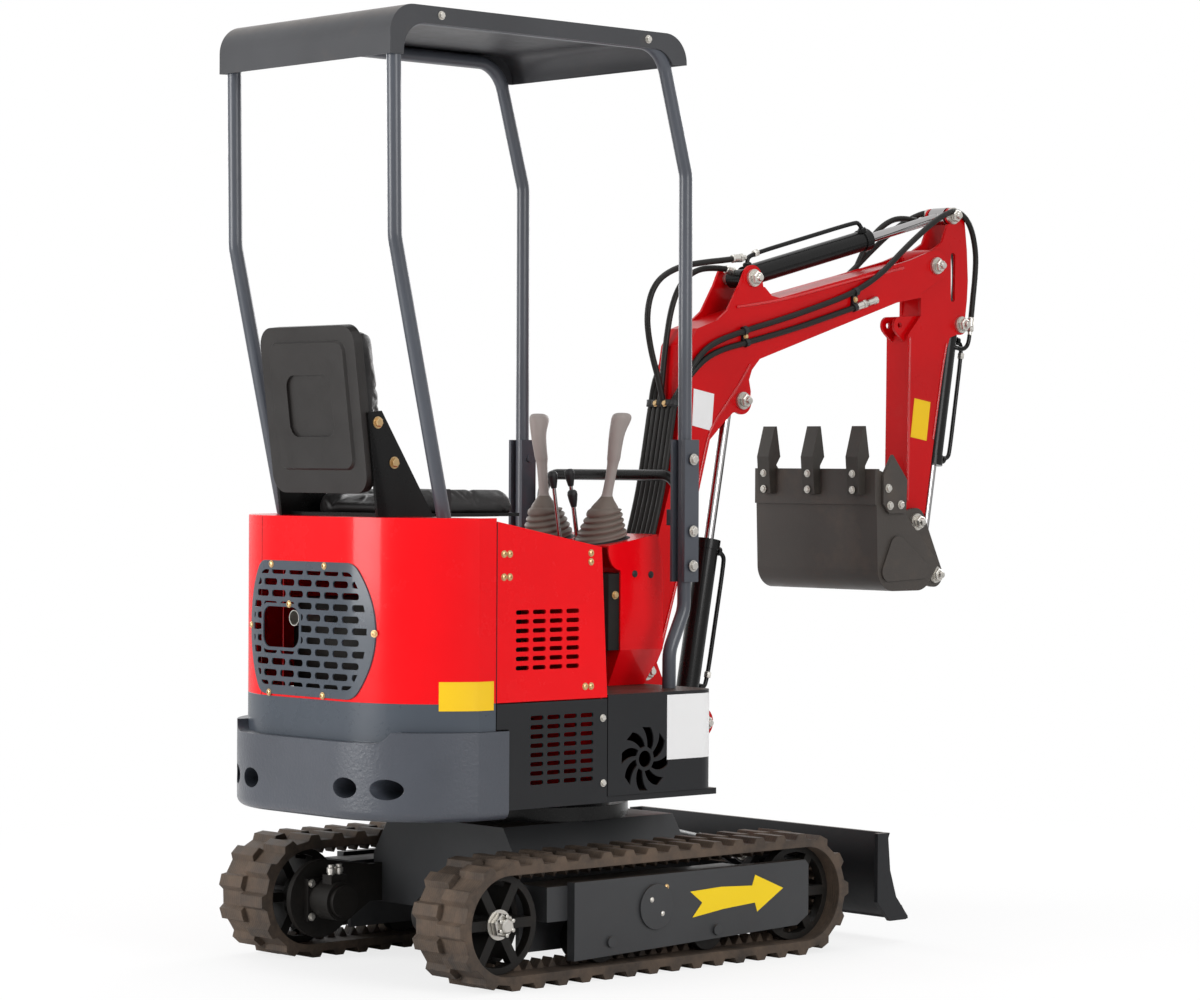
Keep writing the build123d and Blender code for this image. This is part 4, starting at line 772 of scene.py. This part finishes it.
def make_arm_cylinder_hoses(fittings, materials):
    """Two hoses to the arm cylinder's base and one beside the dipper's head."""
    rear = [(424, -9, 1368), (412, -6, 1430), (385, 6, 1530), (366, 0, 1620), (392, -4, 1698),
            (470, -6, 1740), (570, -8, 1756), (640, -10, 1764), (668, -10, 1768)]
    hose("arm_hose_rear", rear, materials["hose"], "boom")
    fittings.crimp("boom", (664, -10, 1768), (1, 0, 0.12))
    base = [(424, 9, 1368), (440, 18, 1440), (462, 28, 1540), (486, 32, 1640), (520, 30, 1705),
            (570, 24, 1738), (630, 18, 1745), (668, 14, 1742)]
    hose("arm_hose_base", base, materials["hose"], "boom")
    fittings.crimp("boom", (664, 14, 1742), (1, 0, -0.2))
    beside = [(1190, 66, 1720), (1215, 64, 1770), (1262, 58, 1850), (1330, 50, 1905), (1392, 40, 1915),
              (1440, 30, 1905)]
    bent_hose("arm_hose_side", beside, materials["hose"])


def make_cylinder_pipes(fittings, materials):
    """Steel pipe from the base to the head of each cylinder, with its ports."""
    jobs = (("arm_barrel", ARM_BASE, ARM_EYE, 28, (30, 480), 1),
            ("boom_barrel", BOOM_BASE, BOOM_EYE, 30, (92, 450), -1),
            ("bucket_barrel", BUCKET_BASE, BUCKET_EYE, 25, (40, 372), 1))
    for body, base, eye, r, (start, end), side in jobs:
        along = Vector((eye[0] - base[0], 0, eye[1] - base[1])).normalized()
        out = Vector((-along.z, 0, along.x)) * side
        root = Vector((base[0], -10, base[1]))
        bends = ((start, r - 4), (start, r + 16), (start + 22, r + 26), ((start + end) / 2, r + 27),
                 (end - 30, r + 28), (end, r + 24), (end + 4, r - 4))
        points = [root + along * s + out * h for s, h in bends]
        hose(body + "_pipe", points, materials["black"], body, PIPE_R)
        for s in (start, end + 4):
            port = root + along * s + out * (r - 4)
            lathe(fittings.mesh(body, "black"), port, out, [(12, 0), (12, 10), (9, 13)], 16)
        ring = root + along * (start + 30) + out * (r + 26)
        lathe(fittings.mesh(body, "zinc"), ring, along, [(8.5, 0), (10, 2), (10, 14), (8.5, 16)], 6)


def make_lines(fittings, materials):
    """Every hose and pipe."""
    for sign, side in ((-1, "right"), (1, "left")):
        make_bucket_lines(fittings, materials, sign, side)
        make_spare_lines(fittings, materials, sign, side)
    make_foot_hoses(fittings, materials)
    make_arm_cylinder_hoses(fittings, materials)
    make_cylinder_pipes(fittings, materials)


# Labels, seams and welds

def wall_label(name, line, z0, z1, material, thickness=LABEL_DEPTH):
    """Thin plate that follows the upper structure's wall."""
    label = bmesh.new()
    wrap(label, line, z0, z1, thickness)
    add(name, label, material, "upper")


def flat_label(name, corners, face, material, body):
    """Thin plate on a flat right side, from (x, z) corners."""
    label = bmesh.new()
    slab(label, [(x, -face, z) for x, z in corners], (0, -LABEL_DEPTH, 0))
    add(name, label, material, body)


def make_labels(materials):
    """Blank plates, bare labels and the arrow."""
    x, y, r = BOX_CORNER
    box_side = [(58 + 119 * k / 4, -BODY_HALF, 0, -1) for k in range(5)]
    for a in [radians(8 * k) for k in range(1, 6)]:
        box_side.append((x + r * sin(a), y - r * cos(a), sin(a), -cos(a)))
    wall_label("side_plate", box_side, 508, 666, materials["white"])
    flat_label("boom_plate", [(486, 1424), (560, 1411), (551, 1315), (481, 1328)], BOOM_HALF,
               materials["white"], "boom")
    flat_label("arm_label", [(1342, 1413), (1407, 1403), (1392, 1296), (1327, 1306)], DIPPER_HALF,
               materials["label"], "arm")
    hood_side = [tail(HOOD_PLAN, -360 - 50 * k / 8) for k in range(9)] + [(-500, -BODY_HALF, 0, -1)]
    wall_label("hood_label", hood_side, 652, 720, materials["label"])
    arrow = [(99, 187), (140, 157), (107, 123), (215, 136), (322, 143), (330, 120), (421, 172), (322, 212),
             (312, 186), (205, 191)]
    flat_label("travel_arrow", arrow, TRACK_FACE, materials["yellow"], "undercarriage")


def make_seams(materials):
    """Dark lines where the hood meets its neighbours."""
    seam = bmesh.new()
    wrap(seam, [tail(HOOD_PLAN, 178.5), tail(HOOD_PLAN, 181)], 668, 1099, SEAM_DEPTH)
    wrap(seam, [(-492, -BODY_HALF, 0, -1), (-490, -BODY_HALF, 0, -1)], 668, 1090, SEAM_DEPTH)
    add("hood_seam", seam, materials["seam"], "upper")


def make_welds(materials):
    """Weld beads along the plates of the boom and the dipper."""
    boom = [(372, 760), (430, 930), (482, 1090), (520, 1240), (545, 1320), (600, 1380), (655, 1440),
            (690, 1490)]
    boom_top = [(640, 1640), (760, 1655), (900, 1684), (1110, 1732), (1280, 1768)]
    dipper = [(1472, 1566), (1456, 1505), (1438, 1404), (1418, 1300)]
    dipper_rear = [(1322, 1580), (1320, 1450), (1318, 1300), (1316, 1130)]
    jobs = (("boom_weld_front", boom, BOOM_HALF, "boom"),
            ("boom_weld_top", boom_top, BOOM_HALF, "boom"),
            ("arm_weld_front", dipper, DIPPER_HALF, "arm"),
            ("arm_weld_rear", dipper_rear, DIPPER_HALF, "arm"))
    for name, line, half, body in jobs:
        for sign, side in ((-1, "right"), (1, "left")):
            points = [(x, sign * half, z) for x, z in line]
            hose(f"{name}_{side}", points, materials["weld"], body, WELD_R)


# Controls

def boot_rings():
    """(height, shift forward, radius along, radius across) of the pleated boot."""
    rings = [(0, 0, 66, 66), (4, 0, 68, 68)]
    for k in range(PLEATS):
        r = 64 - PLEAT_TAPER * k
        z = 8 + PLEAT_STEP * k
        for rise, swelling in ((0, 0), (5, 3), (10, -1), (12, -9)):
            rings.append((z + rise, 0, r + swelling, r + swelling))
    return rings + [(82, 0, 36, 36), (100, 0, 20, 20), (110, 1, 15, 15)]


def make_joysticks(materials):
    """Hand grips on pleated boots."""
    grip = [(112, 1, 13, 13), (150, 3, 12.5, 13), (198, 4, 14, 14), (200, 4, 17, 17), (215, 3, 17, 17),
            (245, 1, 19, 18), (270, 1, 21, 19), (288, 5, 25, 21), (302, 8, 29, 22), (311, 8, 28, 21),
            (317, 7, 22, 16), (319, 6, 10, 8)]
    turns = [2 * pi * k / STICK_SIDES for k in range(STICK_SIDES)]
    for sign, side in ((-1, "right"), (1, "left")):
        mesh = bmesh.new()
        rings = []
        for z, forward, rx, ry in boot_rings() + grip:
            lean = max(0.0, z - 20) / 300
            tilt = BOOT_TILT * rx * (z < PLEAT_TOP)
            centre = Vector((STICK_X + 12 * lean + forward, sign * (STICK_Y + 56 * lean), STICK_Z + z))
            rings.append([mesh.verts.new(centre + Vector((rx * cos(a), ry * sin(a), tilt * cos(a))))
                          for a in turns])
        for low, high in zip(rings, rings[1:]):
            for k in range(STICK_SIDES):
                after = (k + 1) % STICK_SIDES
                mesh.faces.new((low[k], low[after], high[after], high[k]))
        mesh.faces.new(rings[0][::-1])
        mesh.faces.new(rings[-1])
        piece = add(f"joystick_{side}", mesh, materials["boot"], "upper", 60)
        piece.data.materials.append(materials["grip"])
        for face in piece.data.polygons:
            face.material_index = int(face.center.z > (STICK_Z + GRIP_START) * MM)
        rounding = piece.modifiers.new("rounding", "SUBSURF")
        rounding.levels = rounding.render_levels = 1
        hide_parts("joysticks")
    plates = bmesh.new()
    for sign in (-1, 1):
        place = (STICK_X, sign * STICK_Y, CONSOLE_TOP + 6)
        lathe(plates, place, (-0.16, 0, 1), [(76, 0), (76, 4), (70, 7)], 32)
    add("joystick_seats", plates, materials["plastic"], "upper")


def make_levers(materials):
    """Three chrome levers with pear-shaped black knobs, leaning with the console's top."""
    rods, knobs = bmesh.new(), bmesh.new()
    knob = ((7, -4), (8, 0), (11, 14), (13, 27), (12, 35), (8, 39), (0, 40))
    for x, y, reach in ((95, 25, 140), (130, 0, 140), (110, -25, 90)):
        root = (x, y, CONSOLE_TOP + (x - 55) * LEVER_SLOPE)
        lathe(rods, root, LEVER_AXIS, [(9, 0), (9, 3), (5, 5), (5, reach)], 16)
        lathe(knobs, root, LEVER_AXIS, [(r, reach + h) for r, h in knob], 20)
    levers = add("lever_rods", rods, materials["chrome"], "upper")
    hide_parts("levers")
    add("lever_knobs", knobs, materials["plastic"], "upper", 70)


# Seat

def pad_block(half, length, crown, side_roll):
    """Closed cushion block with rolled sides and drawn-in corners, lying flat at z = 0."""
    mesh = bmesh.new()
    grid = {}
    for layer in (0, 1):
        for i in range(PAD_COLUMNS + 1):
            for j in range(PAD_ROWS + 1):
                u = -1 + 2 * i / PAD_COLUMNS
                v = -1 + 2 * j / PAD_ROWS
                corner = max(0.0, abs(u) + abs(v) - CORNER_START)
                y = u * half * (1 - corner * CORNER_DRAW)
                x = v * length / 2 * (1 - corner * CORNER_DRAW)
                roll = max(0.0, (abs(u) - ROLL_START) / ROLL_WIDTH)
                edge = min(1.0, min(1 - abs(u), 1 - abs(v)) * EDGE_RISE)
                top = crown * (0.55 + 0.45 * edge) + side_roll * sin(pi * min(1.0, roll))
                grid[layer, i, j] = mesh.verts.new((x, y, top if layer else 0.0))
    for layer in (0, 1):
        for i in range(PAD_COLUMNS):
            for j in range(PAD_ROWS):
                ring = ((i, j), (i + 1, j), (i + 1, j + 1), (i, j + 1))
                face = [grid[layer, *spot] for spot in ring]
                mesh.faces.new(face if layer else face[::-1])
    rim = [(i, 0) for i in range(PAD_COLUMNS)] + [(PAD_COLUMNS, j) for j in range(PAD_ROWS)]
    rim += [(i, PAD_ROWS) for i in range(PAD_COLUMNS, 0, -1)] + [(0, j) for j in range(PAD_ROWS, 0, -1)]
    for here, there in zip(rim, rim[1:] + rim[:1]):
        mesh.faces.new((grid[0, *here], grid[0, *there], grid[1, *there], grid[1, *here]))
    return mesh


def apply_modifiers(piece):
    """Replace a piece's mesh by what its modifiers make of it."""
    depsgraph = bpy.context.evaluated_depsgraph_get()
    mesh = bpy.data.meshes.new_from_object(piece.evaluated_get(depsgraph))
    piece.modifiers.clear()
    piece.data = mesh
    mesh.shade_smooth()


def swell(piece):
    """Remesh a pad and let cloth under pressure round it, within a cap."""
    remesh = piece.modifiers.new("remesh", "REMESH")
    remesh.mode = "VOXEL"
    remesh.voxel_size = PAD_VOXEL
    apply_modifiers(piece)
    before = [vertex.co.copy() for vertex in piece.data.vertices]
    cloth = piece.modifiers.new("cloth", "CLOTH")
    cloth.settings.use_pressure = True
    cloth.settings.uniform_pressure_force = 4.0
    cloth.settings.effector_weights.gravity = 0.0
    cloth.settings.quality = 4
    cloth.collision_settings.use_collision = False
    for step in range(1, CLOTH_STEPS + 1):
        scene.frame_set(step)
    apply_modifiers(piece)
    scene.frame_set(1)
    for vertex, start in zip(piece.data.vertices, before):
        moved = vertex.co - start
        if moved.length > CLOTH_CAP:
            vertex.co = start + moved.normalized() * CLOTH_CAP
    piece.data.shade_smooth()


def sew(piece, place, crown, channels):
    """Press sewn channels and slight unevenness into a pad's upper side."""
    forward = TO_METRES @ place
    back = forward.inverted()
    for vertex in piece.data.vertices:
        local = back @ vertex.co
        if local.z > crown * 0.4:
            for kind, at, depth in channels:
                distance = abs((local.y if kind == "y" else local.x) - at)
                local.z -= depth * max(0.0, 1 - distance / CHANNEL_HALF) ** 0.7
            local.z += 0.7 * field.noise(Vector((local.x, local.y, 3.0)) / 26)
        vertex.co = forward @ local


def pad(name, half, length, crown, side_roll, place, node, material, channels):
    """Cushion that stands for a node: a block swollen by cloth, then given its sewn channels."""
    mesh = pad_block(half, length, crown, side_roll)
    mesh.transform(place)
    piece = add(name, mesh, material, "upper", 0)
    swell(piece)
    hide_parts(node)
    sew(piece, place, crown, channels)
    smoother = piece.modifiers.new("rounding", "SUBSURF")
    smoother.levels = smoother.render_levels = 1


def make_seat(materials):
    """Seat cushions and the belt's buckles."""
    flat = Matrix.Translation((-399.5, 0, 1110))
    pad("seat_base_pad", 172, 386, 30, 13, flat, "seat_cushion", materials["vinyl"],
        (("y", -98, 5), ("y", 98, 5), ("x", -60, 4), ("x", 60, 4)))
    up = BACK_LEAN
    out = Vector((up.z, 0, -up.x))
    turn = Matrix(((up.x, 0, out.x), (0, -1, 0), (up.z, 0, out.z))).to_4x4()
    upright = Matrix.Translation(Vector((-717, 0, 1352)) + out * 27) @ turn
    pad("seat_back_pad", 168, 376, 46, 10, upright, "seat_back_cushion", materials["vinyl"],
        (("y", -98, 5), ("y", 98, 5), ("x", -70, 4), ("x", 40, 4)))
    belt = bmesh.new()
    for sign in (-1, 1):
        corners = [(-470 + du, sign * 192, 1132 + dv) for du, dv in rounded(-14, 14, -34, 34, 6)]
        slab(belt, corners, (0, sign * 9, 0))
    add("belt_buckles", belt, materials["plastic"], "upper")


# Camera, light and background

def make_camera():
    """Camera at the photograph's place and angle."""
    level = cos(CAMERA_PITCH)
    forward = Vector((level * cos(CAMERA_YAW), level * sin(CAMERA_YAW), sin(CAMERA_PITCH)))
    right = forward.cross(Vector((0, 0, 1))).normalized()
    up = right.cross(forward)
    tilted_right = right * cos(CAMERA_ROLL) + up * sin(CAMERA_ROLL)
    tilted_up = up * cos(CAMERA_ROLL) - right * sin(CAMERA_ROLL)
    data = bpy.data.cameras.new("camera")
    data.lens = LENS
    data.sensor_width = SENSOR_WIDTH
    data.sensor_fit = "HORIZONTAL"
    data.clip_end = CLIP_END
    camera = bpy.data.objects.new("camera", data)
    scene.collection.objects.link(camera)
    turn = Matrix((tilted_right, tilted_up, -forward)).transposed().to_4x4()
    camera.matrix_world = Matrix.Translation(CAMERA_AT) @ turn
    scene.camera = camera


def make_floor():
    """Pale floor that keeps the shadow near the machine and turns white further out."""
    floor_mesh = bpy.data.meshes.new("floor")
    corners = [(-FLOOR_REACH, -FLOOR_REACH, 0), (FLOOR_REACH, -FLOOR_REACH, 0),
               (FLOOR_REACH, FLOOR_REACH, 0), (-FLOOR_REACH, FLOOR_REACH, 0)]
    floor_mesh.from_pydata(corners, [], [(0, 1, 2, 3)])
    floor = bpy.data.objects.new("floor", floor_mesh)
    scene.collection.objects.link(floor)
    material, tree_nodes, links = shader("floor")
    principled = tree_nodes["Principled BSDF"]
    principled.inputs["Base Color"].default_value = (*FLOOR_GREY, 1)
    principled.inputs["Roughness"].default_value = 0.9
    principled.inputs["Specular IOR Level"].default_value = 0.1
    glow = tree_nodes.new("ShaderNodeEmission")
    glow.inputs["Strength"].default_value = 1.0
    blend = tree_nodes.new("ShaderNodeMixShader")
    path = tree_nodes.new("ShaderNodeLightPath")
    coordinates = tree_nodes.new("ShaderNodeTexCoord")
    distance = tree_nodes.new("ShaderNodeVectorMath")
    distance.operation = "LENGTH"
    links.new(coordinates.outputs["Object"], distance.inputs[0])
    lit = ramp(tree_nodes, links, distance.outputs["Value"], *FLOOR_FADE, FLOOR_NEAR, 1.0)
    links.new(times(tree_nodes, links, path.outputs["Is Camera Ray"], lit), blend.inputs["Fac"])
    links.new(principled.outputs["BSDF"], blend.inputs[1])
    links.new(glow.outputs["Emission"], blend.inputs[2])
    links.new(blend.outputs["Shader"], tree_nodes["Material Output"].inputs["Surface"])
    floor_mesh.materials.append(material)


def make_lamps():
    """Large soft area lamps."""
    for name, place, aim, size, power in LAMPS:
        light = bpy.data.lights.new(name, "AREA")
        light.shape = "SQUARE"
        light.size = size
        light.energy = power
        lamp = bpy.data.objects.new(name, light)
        scene.collection.objects.link(lamp)
        lamp.location = place
        lamp.rotation_euler = (Vector(aim) - Vector(place)).to_track_quat("-Z", "Y").to_euler()


def make_world():
    """White world, at full strength only for what is seen or mirrored."""
    world = bpy.data.worlds.new("world")
    world.use_nodes = True
    scene.world = world
    tree = world.node_tree
    background = tree.nodes["Background"]
    background.inputs["Color"].default_value = (1, 1, 1, 1)
    rays = tree.nodes.new("ShaderNodeLightPath")
    seen = tree.nodes.new("ShaderNodeMath")
    seen.operation = "MAXIMUM"
    tree.links.new(rays.outputs["Is Camera Ray"], seen.inputs[0])
    tree.links.new(rays.outputs["Is Glossy Ray"], seen.inputs[1])
    strength = ramp(tree.nodes, tree.links, seen.outputs[0], 0, 1, WORLD_LIGHT, 1.0)
    tree.links.new(strength, background.inputs["Strength"])
    scene.view_settings.view_transform = "Standard"


def main():
    """Build the scene."""
    materials = make_paints() | make_bare_finishes()
    make_camera()
    make_floor()
    make_lamps()
    make_world()
    paint_nodes(materials)
    fittings = Fittings()
    make_fasteners(fittings)
    make_lines(fittings, materials)
    fittings.place(materials)
    make_labels(materials)
    make_seams(materials)
    make_welds(materials)
    make_joysticks(materials)
    make_levers(materials)
    make_seat(materials)


main()
